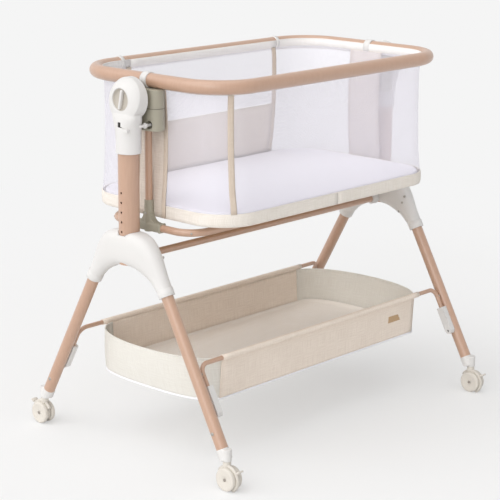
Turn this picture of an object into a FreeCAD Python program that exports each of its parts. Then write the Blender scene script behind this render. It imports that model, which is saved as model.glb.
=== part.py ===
import FreeCAD, Part

import math
import os
import re

import Sketcher
from FreeCAD import Placement, Rotation, Vector

# A bedside sleeper crib, in millimetres. The origin is on the floor below the middle of the crib,
# +X runs along the crib, -Y is the fixed front, +Y is the side that drops, and +Z is up.
# The pieces of the left end are built at -X. The right end is the same, turned half round about Z.

SIZES = {
    # masts
    "mast_offset": 430,
    "post_diameter": 45,
    "post_wall": 1.5,
    "post_bottom": 432,
    "post_top_drop": 73.5,
    "height_hole_diameter": 5,
    "height_hole_pitch": 21,
    "height_hole_lowest": 462,
    # general clearances
    "running_clearance": 0.1,
    "sliding_clearance": 0.3,
    "seat_gap": 0.3,
    # yokes
    "yoke_thickness": 54,
    "yoke_arm_thickness": 30,
    "yoke_rim_height": 504,
    "yoke_rim_half_width": 32,
    "yoke_shoulder_width": 92,
    "yoke_shoulder_drop": 30,
    "yoke_shoulder_radius": 75,
    "yoke_arch_height": 430,
    "yoke_arch_half_width": 62,
    "yoke_arch_rise": 20,
    "yoke_hub_half_width": 14,
    "yoke_taper_end": 100,
    "yoke_arm_length": 78,
    "yoke_arm_root_diameter": 36.5,
    "pocket_start": 29,
    "pocket_end": 80,
    "pocket_bottom": 434,
    "pocket_top": 492,
    "pocket_slope": 26,
    "pocket_depth": 13,
    "collar_diameter": 35,
    "collar_length": 14,
    "collar_step": 1,
    # legs, measured along their axis from the centre of the collar's mouth
    "leg_top_width": 113.5,
    "leg_top_height": 379.5,
    "leg_tilt": 28.5,
    "leg_diameter": 26,
    "leg_wall": 1.5,
    "leg_end_height": 84.22,
    "leg_insert": 42,
    "foot_plug_length": 38,
    "foot_cap_diameter": 28,
    "foot_cap_length": 24,
    "foot_rivet_inset": 35,
    "rivet_diameter": 8,
    "rivet_head": 1.5,
    # crossbar
    "crossbar_diameter": 16,
    "crossbar_drop": 61.5,
    "small_tube_wall": 1.2,
    "socket_diameter": 25,
    "socket_length": 9,
    # heads
    "pivot_height": 785.5,
    "head_radius": 45.5,
    "head_face_radius": 31,
    "head_thickness": 38,
    "head_rim_thickness": 26,
    "head_inner_face": 414,
    "head_wall": 5,
    "head_boss_radius": 13,
    "neck_top_drop": 40.5,
    "neck_top_half_width": 44,
    "neck_bottom_drop": 88.5,
    "neck_bottom_half_width": 26,
    "neck_thickness": 41,
    "head_sleeve_diameter": 52,
    "sleeve_bottom_drop": 116.5,
    "knob_radius": 23,
    "knob_recess": 8,
    "knob_thickness": 5,
    "knob_rib_width": 6,
    "knob_rib_height": 4,
    "knob_spindle_radius": 4,
    "pivot_radius": 6,
    "pivot_collar_radius": 14,
    # rocking lock
    "lock_offset": 34,
    "lock_drop": 55,
    "bolt_diameter": 6,
    "bolt_length": 34,
    "bolt_reach": 20,
    "bolt_travel": 10,
    "lock_hole_diameter": 16,
    "lock_hole_depth": 14,
    "slider_offset": 21,
    "slider_drop": 62.5,
    "slider_width": 10,
    "slider_height": 6,
    "slider_depth": 5,
    "slider_nub": 3,
    "slider_travel": 8,
    "window_side": 8,
    "window_drop": 52.5,
    "window_depth": 3,
    # hinge blocks
    "block_outer_face": 402,
    "block_thickness": 36,
    "block_half_width": 54,
    "block_corner": 17,
    "block_bottom_drop": 68.5,
    # top rail
    "rail_diameter": 30,
    "rail_wall": 1.5,
    "rail_rise": 34.5,
    "rail_half_length": 376,
    "rail_half_width": 217,
    "rail_bend": 99,
    "rail_split_left": 232,
    "rail_split_right": 258,
    "rail_sleeve_diameter": 34,
    "rail_sleeve_length": 19,
    "rail_end_gap": 0.5,
    "clip_diameter": 35,
    "clip_width": 27,
    "clip_offset": 9,
    # base frame of the bassinet
    "small_tube_diameter": 16,
    "end_tube_offset": 372,
    "end_tube_insert": 18,
    "fitting_width": 21,
    "fitting_top": 562,
    "fitting_shoulder": 515,
    "fitting_bottom": 494.5,
    "fitting_half_length": 42,
    "fitting_stem_half_width": 11,
    "fitting_fillet": 15,
    "fitting_tube_end": 530,
    "base_tube_height": 504.5,
    "base_tube_half_width": 128,
    "base_tube_bend": 49,
    "base_tube_insert": 20,
    "board_half_length": 305,
    "board_half_width": 155,
    "board_corner": 60,
    "board_thickness": 14.5,
    "screw_diameter": 6,
    "screw_head": 1.5,
    "screw_reach": 9,
    "upper_screw_width": 93,
    "upper_screw_drop": 44,
    "middle_screw_width": 88,
    "middle_screw_drop": 60,
    "lower_screw_width": 77,
    "lower_screw_drop": 84,
    # fabric of the bassinet
    "tray_half_length": 361,
    "tray_half_width": 216,
    "tray_corner": 90,
    "tray_height": 24,
    "tray_floor": 3,
    "cloth_thickness": 1.5,
    "panel_height": 123.7,
    "waist_half_length": 353.5,
    "waist_half_width": 198.5,
    "waist_corner": 82,
    "hem_drop": 25,
    "hem_half_length": 356,
    "hem_half_width": 197,
    "hem_corner": 80,
    "wall_top_drop": 2,
    "drop_left": 230,
    "drop_right": 243,
    "drop_reach": 100,
    # mattress
    "mattress_margin": 4,
    "mattress_thickness": 40,
    "mattress_draw": 3,
    "mattress_shoulder": 8,
    "mattress_crown": 4,
    "mattress_crown_inset": 60,
    # basket
    "rod_diameter": 10,
    "rod_wall": 1,
    "rod_height": 242,
    "rod_end_offset": 409,
    "rod_bend": 20,
    "rod_drop": 70,
    "bracket_length": 60,
    "bracket_width": 18,
    "bracket_insert": 22,
    "bracket_inner_face": 401.3,
    "bracket_eye_radius": 8,
    "bracket_eye_hole": 3,
    "basket_straight": 318,
    "basket_top_half_length": 401,
    "basket_bottom_half_length": 384,
    "basket_top_fullness": 2.1,
    "basket_bottom_fullness": 2.8,
    "basket_bottom": 145,
    "basket_top": 240,
    "basket_lean": 7,
    "basket_cloth": 2,
    "insert_thickness": 5,
    "insert_margin": 2,
    "label_position": 271,
    "label_length": 61,
    "label_height": 16,
    "label_centre_height": 197,
    "label_thickness": 1,
    # casters
    "caster_lead": 3.11,
    "caster_offset": 432,
    "wheel_radius": 25,
    "wheel_thickness": 11,
    "wheel_dome": 3,
    "wheel_face_radius": 19,
    "wheel_gap": 9.8,
    "wheel_trail": 6,
    "axle_radius": 3,
    "caster_web": 9.2,
    "caster_web_radius": 23,
    "caster_collar_radius": 9,
    "caster_collar_rise": 1,
    "caster_neck": 16,
    "stem_diameter": 8,
    "stem_length": 24,
    "foot_bottom": 62,
    "foot_socket_diameter": 20,
    "foot_socket_length": 26,
    "brake_width": 6,
    "brake_length": 9,
    "brake_thickness": 4,
    "pedal_width": 16,
    "pedal_length": 10,
    "brake_lift": 35,
    "front_left_heading": 0,
    "back_left_heading": 180,
    "front_right_heading": 0,
    "back_right_heading": 180,
}

# Heights and lengths that follow from the sizes above.
WORKED_OUT = {
    "crossbar_height": "yoke_rim_height - crossbar_drop",
    "upper_screw_height": "yoke_rim_height - upper_screw_drop",
    "middle_screw_height": "yoke_rim_height - middle_screw_drop",
    "lower_screw_height": "yoke_rim_height - lower_screw_drop",
    "post_top": "pivot_height - post_top_drop",
    "neck_top_height": "pivot_height - neck_top_drop",
    "neck_bottom_height": "pivot_height - neck_bottom_drop",
    "head_sleeve_bottom": "pivot_height - sleeve_bottom_drop",
    "block_bottom": "pivot_height - block_bottom_drop",
    "rail_height": "pivot_height + rail_rise",
    "hem_height": "rail_height - hem_drop",
    "wall_top": "rail_height - wall_top_drop",
    "board_top": "base_tube_height + small_tube_diameter / 2 + board_thickness",
    "tray_top": "board_top + tray_height",
    "waist_height": "tray_top + seat_gap + panel_height",
    "leg_length": "(leg_top_height - leg_end_height) / cos(leg_tilt)",
    "foot_rivet_along": "leg_length - foot_rivet_inset",
    "caster_width": "leg_top_width + (leg_top_height - foot_bottom) * tan(leg_tilt) + caster_lead",
}

HEIGHT_HOLES = 7
YOKE_SCREWS = (
    ("upper_screw_width", "upper_screw_height"),
    ("middle_screw_width", "middle_screw_height"),
    ("lower_screw_width", "lower_screw_height"),
)

ALONG_X = Rotation(Vector(0, 1, 0), 90)
ALONG_MINUS_X = Rotation(Vector(0, 1, 0), -90)
ALONG_Y = Rotation(Vector(1, 0, 0), -90)
ALONG_Z = Rotation()
HALF_TURN = Placement(Vector(), Rotation(Vector(0, 0, 1), 180))

doc = FreeCAD.newDocument("sleeper_crib")
sheet = doc.addObject("Spreadsheet::Sheet", "Sizes")
for row, (alias, amount) in enumerate(SIZES.items(), start=1):
    sheet.set(f"A{row}", alias)
    sheet.set(f"B{row}", str(amount))
    sheet.setAlias(f"B{row}", alias)
doc.recompute()

pieces = {}


# ---------------------------------------------------------------- formulas and simple solids

def formula(text):
    """Return a formula in which each size's name points at the sheet and worked-out names are spelt out."""
    def spelt(word):
        name = word[0]
        if name in WORKED_OUT:
            return formula(f"({WORKED_OUT[name]})")
        return f"Sizes.{name}" if name in SIZES else name
    return re.sub(r"[a-z]\w*", spelt, text)


def number(text):
    """Return what a formula comes to now."""
    return float(sheet.evalExpression(formula(text)))


def bind(thing, name, text):
    thing.setExpression(name, formula(text))


def put(thing, at, way=ALONG_Z, tilt=None):
    """Place a thing at a point of formulas. A tilt is an angle formula about +X."""
    thing.Placement = Placement(Vector(), Rotation(Vector(1, 0, 0), number(tilt)) if tilt else way)
    for letter, text in zip("xyz", at):
        bind(thing, f"Placement.Base.{letter}", text)
    if tilt:
        bind(thing, "Placement.Rotation.Angle", tilt)
    return thing


def cylinder(name, radius, length, at, way=ALONG_Z, tilt=None):
    rod = doc.addObject("Part::Cylinder", name)
    bind(rod, "Radius", radius)
    bind(rod, "Height", length)
    return put(rod, at, way, tilt)


def cone(name, first_radius, last_radius, length, at, way=ALONG_Z):
    shape = doc.addObject("Part::Cone", name)
    bind(shape, "Radius1", first_radius)
    bind(shape, "Radius2", last_radius)
    bind(shape, "Height", length)
    return put(shape, at, way)


def block(name, size, low, tilt=None):
    """A box from its low corner, or turned about +X through that corner."""
    shape = doc.addObject("Part::Box", name)
    for side, text in zip(("Length", "Width", "Height"), size):
        bind(shape, side, text)
    return put(shape, low, tilt=tilt)


def fuse(name, *shapes):
    union = doc.addObject("Part::MultiFuse", name)
    union.Shapes = list(shapes)
    return union


def cut(name, base, *tools):
    result = doc.addObject("Part::Cut", name)
    result.Base = base
    result.Tool = tools[0] if len(tools) == 1 else fuse(f"{name}_tools", *tools)
    return result


def common(name, first, second):
    shared = doc.addObject("Part::Common", name)
    shared.Base = first
    shared.Tool = second
    return shared


def group(name, *shapes):
    """Separate solids that share one node."""
    compound = doc.addObject("Part::Compound", name)
    compound.Links = list(shapes)
    return compound


def tube(name, diameter, wall, length, at, way=ALONG_Z, tilt=None):
    outer = cylinder(f"{name}_outer", f"{diameter} / 2", length, at, way, tilt)
    inner = cylinder(f"{name}_inner", f"{diameter} / 2 - {wall}", length, at, way, tilt)
    return cut(name, outer, inner)


def keep(label, shape, turned=False):
    """Name a finished piece. The right end's pieces are turned half round about Z."""
    if turned:
        shape.Placement = HALF_TURN
    shape.Label = label
    pieces[label] = shape
    return shape


# ---------------------------------------------------------------- bodies from sketches

def new_body(name):
    return doc.addObject("PartDesign::Body", name)


def new_sketch(body, plane, lift="0"):
    """A sketch on one of the body's own planes, moved along that plane's normal."""
    outline = body.newObject("Sketcher::SketchObject", f"{body.Name}_sketch")
    face = next(item for item in body.Origin.OriginFeatures if item.Role == plane)
    outline.AttachmentSupport = [(face, "")]
    outline.MapMode = "FlatFace"
    bind(outline, "AttachmentOffset.Base.z", lift)
    return outline


def fix(outline, kind, *where, to):
    """Add a constraint whose amount comes from a formula."""
    index = outline.addConstraint(Sketcher.Constraint(kind, *where, number(to)))
    outline.setExpression(f"Constraints[{index}]", formula(to))


def add_circle(outline, centre, radius):
    middle = Vector(number(centre[0]), number(centre[1]), 0)
    circle = outline.addGeometry(Part.Circle(middle, Vector(0, 0, 1), number(radius)))
    fix(outline, "DistanceX", circle, 3, to=centre[0])
    fix(outline, "DistanceY", circle, 3, to=centre[1])
    fix(outline, "Radius", circle, to=radius)


def arc_between(start, end, radius):
    """The short arc from start to end. A positive radius turns to the left."""
    chord = end - start
    reach = (radius ** 2 - (chord.Length / 2) ** 2) ** 0.5
    left = Vector(-chord.y, chord.x, 0).normalize()
    side = 1 if radius > 0 else -1
    centre = (start + end) * 0.5 + left * reach * side
    middle = centre - left * abs(radius) * side
    return Part.Arc(start, middle, end)


def add_path(outline, corners, closed=True):
    """Join corners (across, up, radius of the arc that follows or None) with lines and arcs."""
    points = [Vector(number(across), number(up), 0) for across, up, _ in corners]
    sides = len(points) if closed else len(points) - 1
    first = outline.GeometryCount
    for index in range(sides):
        start = points[index]
        end = points[(index + 1) % len(points)]
        radius = corners[index][2]
        if radius is None:
            outline.addGeometry(Part.LineSegment(start, end))
            start_point, end_point = 1, 2
        else:
            outline.addGeometry(arc_between(start, end, number(radius)))
            start_point, end_point = (1, 2) if number(radius) > 0 else (2, 1)
        side = first + index
        if index:
            outline.addConstraint(Sketcher.Constraint("Coincident", side - 1, last_point, side, start_point))
        else:
            first_point = start_point
        fix(outline, "DistanceX", side, start_point, to=corners[index][0])
        fix(outline, "DistanceY", side, start_point, to=corners[index][1])
        if radius is not None:
            size = radius if number(radius) > 0 else f"-({radius})"
            fix(outline, "Radius", side, to=size)
        last_point = end_point
    last = first + sides - 1
    if closed:
        outline.addConstraint(Sketcher.Constraint("Coincident", last, last_point, first, first_point))
    else:
        fix(outline, "DistanceX", last, last_point, to=corners[-1][0])
        fix(outline, "DistanceY", last, last_point, to=corners[-1][1])


def rounded_rectangle(half_length, half_width, corner):
    """Corners of a rectangle about the origin with round corners, counter-clockwise."""
    inner_x = f"({half_length} - ({corner}))"
    inner_y = f"({half_width} - ({corner}))"
    return [
        (f"-{inner_x}", f"-({half_width})", None),
        (inner_x, f"-({half_width})", corner),
        (f"{half_length}", f"-{inner_y}", None),
        (f"{half_length}", inner_y, corner),
        (inner_x, f"{half_width}", None),
        (f"-{inner_x}", f"{half_width}", corner),
        (f"-({half_length})", inner_y, None),
        (f"-({half_length})", f"-{inner_y}", corner),
    ]


def pad(body, outline, length):
    feature = body.newObject("PartDesign::Pad", f"{body.Name}_pad")
    feature.Profile = outline
    bind(feature, "Length", length)
    return feature


def plate(name, plane, lift, corners, length):
    """A plate of one outline, standing on a plane of the body."""
    body = new_body(name)
    outline = new_sketch(body, plane, lift)
    add_path(outline, corners)
    pad(body, outline, length)
    return body


def loft(name, levels):
    """A solid through rounded rectangles (height, half length, half width, corner)."""
    body = new_body(name)
    outlines = []
    for height, half_length, half_width, corner in levels:
        outline = new_sketch(body, "XY_Plane", height)
        add_path(outline, rounded_rectangle(half_length, half_width, corner))
        outlines.append(outline)
    feature = body.newObject("PartDesign::AdditiveLoft", f"{name}_loft")
    feature.Profile = outlines[0]
    feature.Sections = outlines[1:]
    return body


def bent_tube(name, profile_plane, profile_lift, centre, diameter, wall, path_plane, path_lift, corners):
    """A tube swept along a path of lines and arcs."""
    body = new_body(name)
    profile = new_sketch(body, profile_plane, profile_lift)
    add_circle(profile, centre, f"{diameter} / 2")
    add_circle(profile, centre, f"{diameter} / 2 - {wall}")
    path = new_sketch(body, path_plane, path_lift)
    add_path(path, corners, closed=False)
    pipe = body.newObject("PartDesign::AdditivePipe", f"{name}_pipe")
    pipe.Profile = profile
    pipe.Spine = (path, [])
    return body


# ---------------------------------------------------------------- places along the legs

LEG_X = "mast_offset"
LEG_SIN = "sin(leg_tilt)"
LEG_COS = "cos(leg_tilt)"


def along_leg(distance):
    """Half width and height of a point on a leg's axis, below the collar's mouth."""
    across = f"(leg_top_width + ({distance}) * {LEG_SIN})"
    up = f"(leg_top_height - ({distance}) * {LEG_COS})"
    return across, up


def leg_rod(name, radius, start, length, end, front, aside="0"):
    """A cylinder on a leg's axis, from start down to start + length.

    End is -1 for the left end and 1 for the right, front is -1 for the front and 1 for the back.
    Aside moves the rod from the leg's axis towards the middle of the crib.
    """
    across, up = along_leg(f"{start} + {length}")
    at = (f"{end} * ({LEG_X} - ({aside}))", f"{front} * {across}", up)
    return cylinder(name, radius, length, at, tilt=f"{front} * leg_tilt")


def leg_cone(name, low_radius, high_radius, start, length, end, front):
    """A cone on a leg's axis, as leg_rod, with its low radius at the lower end."""
    across, up = along_leg(f"{start} + {length}")
    shape = cone(name, low_radius, high_radius, length, (f"{end} * {LEG_X}", f"{front} * {across}", up))
    shape.Placement.Rotation = Rotation(Vector(1, 0, 0), number(f"{front} * leg_tilt"))
    bind(shape, "Placement.Rotation.Angle", f"{front} * leg_tilt")
    return shape


CORNERS = {
    "front_left": (-1, -1),
    "back_left": (-1, 1),
    "front_right": (1, -1),
    "back_right": (1, 1),
}


# ---------------------------------------------------------------- stand

def make_yoke(side):
    """Two moulded halves around the post and the tops of two legs."""
    turned = side == "right"
    name = f"{side}_yoke"
    shoulder_height = "(yoke_rim_height - yoke_shoulder_drop)"
    elbow_y, elbow_z = along_leg("-collar_length")
    arch_z = "(yoke_arch_height - yoke_arch_rise)"
    arch_radius = "((yoke_arch_half_width ^ 2 + yoke_arch_rise ^ 2) / (2 * yoke_arch_rise))"
    front_view = [
        ("-yoke_rim_half_width", "yoke_rim_height", "yoke_shoulder_radius"),
        ("-yoke_shoulder_width", shoulder_height, None),
        (f"-{elbow_y}", elbow_z, None),
        ("-yoke_arch_half_width", arch_z, f"-{arch_radius}"),
        ("yoke_arch_half_width", arch_z, None),
        (elbow_y, elbow_z, None),
        ("yoke_shoulder_width", shoulder_height, "yoke_shoulder_radius"),
        ("yoke_rim_half_width", "yoke_rim_height", None),
    ]
    outer_face = "-mast_offset - yoke_thickness / 2"
    slab = plate(f"{name}_slab", "YZ_Plane", outer_face, front_view, "yoke_thickness")
    inner_face = "-mast_offset + yoke_thickness / 2"
    arm_outer = "-mast_offset - yoke_arm_thickness / 2"
    arm_inner = "-mast_offset + yoke_arm_thickness / 2"
    end_y = "(leg_top_width + collar_diameter)"
    plan = [
        (outer_face, "-yoke_hub_half_width", None),
        (arm_outer, "-yoke_taper_end", None),
        (arm_outer, f"-{end_y}", None),
        (arm_inner, f"-{end_y}", None),
        (arm_inner, "-yoke_taper_end", None),
        (inner_face, "-yoke_hub_half_width", None),
        (inner_face, "yoke_hub_half_width", None),
        (arm_inner, "yoke_taper_end", None),
        (arm_inner, end_y, None),
        (arm_outer, end_y, None),
        (arm_outer, "yoke_taper_end", None),
        (outer_face, "yoke_hub_half_width", None),
    ]
    plan_prism = plate(f"{name}_plan", "XY_Plane", "yoke_arch_height / 2", plan, "yoke_rim_height")
    shell = common(f"{name}_shell", slab, plan_prism)
    arms = []
    for front, way in (("front", -1), ("back", 1)):
        arm = leg_cone(f"{name}_arm_{front}", "collar_diameter / 2", "yoke_arm_root_diameter / 2",
                       "-yoke_arm_length", "yoke_arm_length", -1, way)
        collar = leg_rod(f"{name}_collar_{front}", "collar_diameter / 2 + collar_step",
                         "-collar_length", "collar_length", -1, way)
        arms += [arm, collar]
    pockets = []
    for front, way in (("front", -1), ("back", 1)):
        corners = [
            (f"{way} * pocket_start", "pocket_bottom", None),
            (f"{way} * pocket_end", "pocket_bottom", None),
            (f"{way} * pocket_end", "pocket_top - pocket_slope", None),
            (f"{way} * (pocket_end - pocket_slope)", "pocket_top", None),
            (f"{way} * pocket_start", "pocket_top", None),
        ]
        pockets.append(plate(f"{name}_pocket_{front}", "YZ_Plane", "-mast_offset - pocket_depth", corners,
                             "2 * pocket_depth"))
    leg_bores = [
        leg_rod(f"{name}_bore_{front}", "leg_diameter / 2", "-leg_insert", "leg_insert + collar_length",
                -1, way)
        for front, way in (("front", -1), ("back", 1))
    ]
    post_bore = cylinder(
        f"{name}_post_bore", "post_diameter / 2 + sliding_clearance", "yoke_rim_height",
        ("-mast_offset", "0", "yoke_arch_height / 2"),
    )
    screw_holes = [
        cylinder(f"{name}_screw_hole_{index}_{way}", "screw_diameter / 2", "screw_reach + yoke_thickness / 2",
                 ("-mast_offset - screw_reach", f"{way} * {across}", up), ALONG_X)
        for index, (across, up) in enumerate(YOKE_SCREWS)
        for way in (-1, 1)
    ]
    whole = cut(f"{name}_whole", fuse(f"{name}_union", shell, *arms), post_bore, *pockets, *leg_bores,
                *screw_holes)
    half_size = ("yoke_thickness / 2", f"2 * {end_y}", "yoke_rim_height")
    low_y = f"-{end_y}"
    outer_half = block(f"{name}_outer_half", half_size, (outer_face, low_y, "yoke_arch_height / 2"))
    inner_half = block(f"{name}_inner_half", half_size, ("-mast_offset", low_y, "yoke_arch_height / 2"))
    keep(f"{side}_yoke_outer", common(f"{name}_outer", whole, outer_half), turned)
    keep(f"{side}_yoke_inner", common(f"{name}_inner", whole, inner_half), turned)


def make_legs():
    for corner, (end, front) in CORNERS.items():
        start = "-leg_insert"
        length = "leg_insert + leg_length"
        outer = leg_rod(f"{corner}_leg_outer", "leg_diameter / 2", start, length, end, front)
        bore = leg_rod(f"{corner}_leg_bore", "leg_diameter / 2 - leg_wall", start, length, end, front)
        keep(f"{corner}_leg", cut(f"{corner}_leg_tube", outer, bore))


def make_foot_caps():
    """A plug inside each leg, a cap below it and an upright socket for the caster's stem."""
    caps = []
    for corner, (end, front) in CORNERS.items():
        plug = leg_rod(f"{corner}_foot_plug", "leg_diameter / 2 - leg_wall",
                       "leg_length - foot_plug_length", "foot_plug_length", end, front)
        cap = leg_rod(f"{corner}_foot_barrel", "foot_cap_diameter / 2",
                      "leg_length", "foot_cap_length", end, front)
        socket_at = (f"{end} * caster_offset", f"{front} * caster_width", "foot_bottom")
        socket = cylinder(f"{corner}_foot_socket", "foot_socket_diameter / 2", "foot_socket_length",
                          socket_at)
        clear = ("foot_cap_diameter * 2", "foot_cap_diameter * 4", "foot_bottom")
        below = block(f"{corner}_foot_below", clear,
                      (f"{end} * caster_offset - foot_cap_diameter",
                       f"{front} * caster_width - foot_cap_diameter * 2", "0"))
        bore = cylinder(f"{corner}_foot_bore", "stem_diameter / 2 + running_clearance",
                        "stem_length + seat_gap", socket_at)
        whole = fuse(f"{corner}_foot_union", plug, cap, socket)
        caps.append(cut(f"{corner}_foot_cap", whole, below, bore))
    keep("foot_caps", group("foot_caps_group", *caps))


def make_crossbar():
    inner_face = "(mast_offset - yoke_thickness / 2)"
    bar = tube("crossbar_tube", "crossbar_diameter", "small_tube_wall", f"2 * {inner_face}",
               (f"-{inner_face}", "0", "crossbar_height"), ALONG_X)
    keep("crossbar", bar)
    sockets = [
        cut(f"{side}_crossbar_socket",
            cylinder(f"{side}_socket_outer", "socket_diameter / 2", "socket_length",
                     (f"{end} * {inner_face}", "0", "crossbar_height"), way),
            cylinder(f"{side}_socket_bore", "crossbar_diameter / 2", "socket_length",
                     (f"{end} * {inner_face}", "0", "crossbar_height"), way))
        for side, end, way in (("left", -1, ALONG_X), ("right", 1, ALONG_MINUS_X))
    ]
    keep("crossbar_sockets", group("crossbar_sockets_group", *sockets))


def make_stand_fasteners():
    """Screws through the yokes' inner halves, rivets at the feet and pins behind the rods."""
    fasteners = []
    for side, end in (("left", -1), ("right", 1)):
        head_way = ALONG_X if end < 0 else ALONG_MINUS_X
        for index, (across, up) in enumerate(YOKE_SCREWS):
            for way in (-1, 1):
                at = (f"{end} * (mast_offset + screw_reach)", f"{way} * {across}", up)
                fasteners.append(cylinder(f"{side}_yoke_screw_{index}_{way}", "screw_diameter / 2",
                                          "screw_reach + yoke_arm_thickness / 2", at, head_way))
    for corner, (end, front) in CORNERS.items():
        across, up = along_leg("foot_rivet_along")
        outward = ALONG_X if end > 0 else ALONG_MINUS_X
        at = (f"{end} * ({LEG_X} + leg_diameter / 2)", f"{front} * {across}", up)
        fasteners.append(cylinder(f"{corner}_foot_rivet", "rivet_diameter / 2", "rivet_head", at, outward))
        at = (f"{end} * (rod_end_offset + rod_diameter / 2)",
              f"{front} * ({ROD_WIDTH} + rod_bend * {LEG_SIN})", f"rod_height - rod_bend * {LEG_COS}")
        length = "mast_offset - leg_diameter / 2 - rod_end_offset - rod_diameter / 2"
        fasteners.append(cylinder(f"{corner}_rod_pin", "rivet_diameter / 2", length, at, outward))
    keep("stand_fasteners", group("stand_fasteners_group", *fasteners))


# ---------------------------------------------------------------- basket

ROD_WIDTH = f"(leg_top_width + (leg_top_height - rod_height) * {LEG_SIN} / {LEG_COS})"


def make_basket_rods():
    """Rods under the basket's long hems, bent down along the legs at both ends."""
    reach = "(rod_end_offset - rod_bend)"
    corners = [
        ("-rod_end_offset", "-rod_drop", None),
        ("-rod_end_offset", "-rod_bend", "-rod_bend"),
        (f"-{reach}", "0", None),
        (reach, "0", "-rod_bend"),
        ("rod_end_offset", "-rod_bend", None),
        ("rod_end_offset", "-rod_drop", None),
    ]
    for label, front in (("front", -1), ("back", 1)):
        rod = bent_tube(f"basket_rod_{label}_body", "XY_Plane", "-rod_drop", ("-rod_end_offset", "0"),
                        "rod_diameter", "rod_wall", "XZ_Plane", "0", corners)
        put(rod, ("0", f"{front} * {ROD_WIDTH}", "rod_height"), tilt=f"{front} * leg_tilt")
        keep(f"basket_rod_{label}", rod)


def make_basket_brackets():
    """Moulded blocks on the legs that hold the rods' ends, each with an eye at its foot."""
    brackets = []
    rod_start = f"((leg_top_height - rod_height) / {LEG_COS})"
    top = f"({rod_start} + rod_drop - bracket_insert)"
    leg_face = "(mast_offset - leg_diameter / 2)"
    depth = f"({leg_face} - bracket_inner_face - seat_gap)"
    for corner, (end, front) in CORNERS.items():
        across, up = along_leg(f"{top} + bracket_length")
        low_x = "bracket_inner_face" if end > 0 else f"-(bracket_inner_face + {depth})"
        low = (low_x,
               f"{front} * {across} - bracket_width / 2 * {LEG_COS}",
               f"{up} - {front} * bracket_width / 2 * {LEG_SIN}")
        body = block(f"{corner}_bracket_block", (depth, "bracket_width", "bracket_length"), low,
                     tilt=f"{front} * leg_tilt")
        eye_at = (low_x, f"{front} * {across}", up)
        eye = cylinder(f"{corner}_bracket_eye", "bracket_eye_radius", depth, eye_at, ALONG_X)
        eye_hole = cylinder(f"{corner}_bracket_eye_hole", "bracket_eye_hole", depth, eye_at, ALONG_X)
        bore = leg_rod(f"{corner}_bracket_bore", "rod_diameter / 2", top, "bracket_insert", end, front,
                       "mast_offset - rod_end_offset")
        brackets.append(cut(f"{corner}_bracket", fuse(f"{corner}_bracket_union", body, eye), eye_hole, bore))
    keep("basket_brackets", group("basket_brackets_group", *brackets))


def basket_corner(height, half_width, half_length, straight, fullness, end, side):
    """A smooth quarter from the end's tip to the long side. More fullness gives a squarer corner."""
    points = []
    for angle in range(0, 91, 15):
        along = math.cos(math.radians(angle)) ** (2 / fullness)
        across = math.sin(math.radians(angle)) ** (2 / fullness)
        x = end * (straight + (half_length - straight) * along)
        points.append(Vector(x, side * half_width * across, height))
    points[-1].x = end * straight
    curve = Part.BSplineCurve()
    curve.interpolate(Points=points, InitialTangent=Vector(0, side, 0), FinalTangent=Vector(-end, 0, 0))
    return curve.toShape()


def basket_outline(height, half_width, half_length, straight, fullness):
    """A closed outline with straight long sides and full, rounded ends, at one height."""
    edges = [
        basket_corner(height, half_width, half_length, straight, fullness, end, side)
        for end in (-1, 1)
        for side in (-1, 1)
    ]
    for side in (-1, 1):
        start = Vector(-straight, side * half_width, height)
        edges.append(Part.makeLine(start, Vector(straight, side * half_width, height)))
    return Part.Wire(Part.__sortEdges__(edges))


def basket_solid(low, high):
    """A solid between two outlines (height, half width, half length, straight, fullness)."""
    return Part.makeLoft([basket_outline(*low), basket_outline(*high)], True, True)


def make_basket_tub():
    """The fabric tub, its stiff floor insert and a bare label on the front panel."""
    cloth = number("basket_cloth")
    straight = number("basket_straight")
    top_fullness = number("basket_top_fullness")
    bottom_fullness = number("basket_bottom_fullness")
    top = number("basket_top")
    bottom = number("basket_bottom")
    top_width = number(f"{ROD_WIDTH} - rod_diameter / 2 - seat_gap")
    bottom_width = number(f"{ROD_WIDTH} - rod_diameter / 2 - seat_gap - basket_lean")
    top_length = number("basket_top_half_length")
    bottom_length = number("basket_bottom_half_length")
    outside = basket_solid((bottom, bottom_width, bottom_length, straight, bottom_fullness),
                           (top, top_width, top_length, straight, top_fullness))
    inside_bottom = (bottom + cloth, bottom_width - cloth, bottom_length - cloth, straight, bottom_fullness)
    inside = basket_solid(inside_bottom,
                          (top + cloth, top_width - cloth, top_length - cloth, straight, top_fullness))
    tub = doc.addObject("Part::Feature", "basket_tub_shell")
    tub.Shape = outside.cut(inside)
    keep("basket_tub", tub)
    insert_low = bottom + cloth + number("seat_gap")
    margin = cloth + number("insert_margin")
    insert = doc.addObject("Part::Feature", "basket_insert_slab")
    sides = (bottom_width - margin, bottom_length - margin, straight, bottom_fullness)
    insert.Shape = basket_solid((insert_low, *sides), (insert_low + number("insert_thickness"), *sides))
    keep("basket_floor_insert", insert)
    share = "((label_centre_height - label_height / 2 - basket_bottom) / (basket_top - basket_bottom))"
    panel_y = f"({ROD_WIDTH} - rod_diameter / 2 - seat_gap - basket_lean * (1 - {share}))"
    lean = "atan(basket_lean / (basket_top - basket_bottom))"
    label = block("basket_label_patch", ("label_length", "label_thickness", "label_height"),
                  ("label_position - label_length / 2", f"-{panel_y} - label_thickness - 0.02",
                   "label_centre_height - label_height / 2"), tilt=lean)
    keep("basket_label", label)


# ---------------------------------------------------------------- casters

COLLAR_BOTTOM = "(2 * wheel_radius + caster_collar_rise)"


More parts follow.
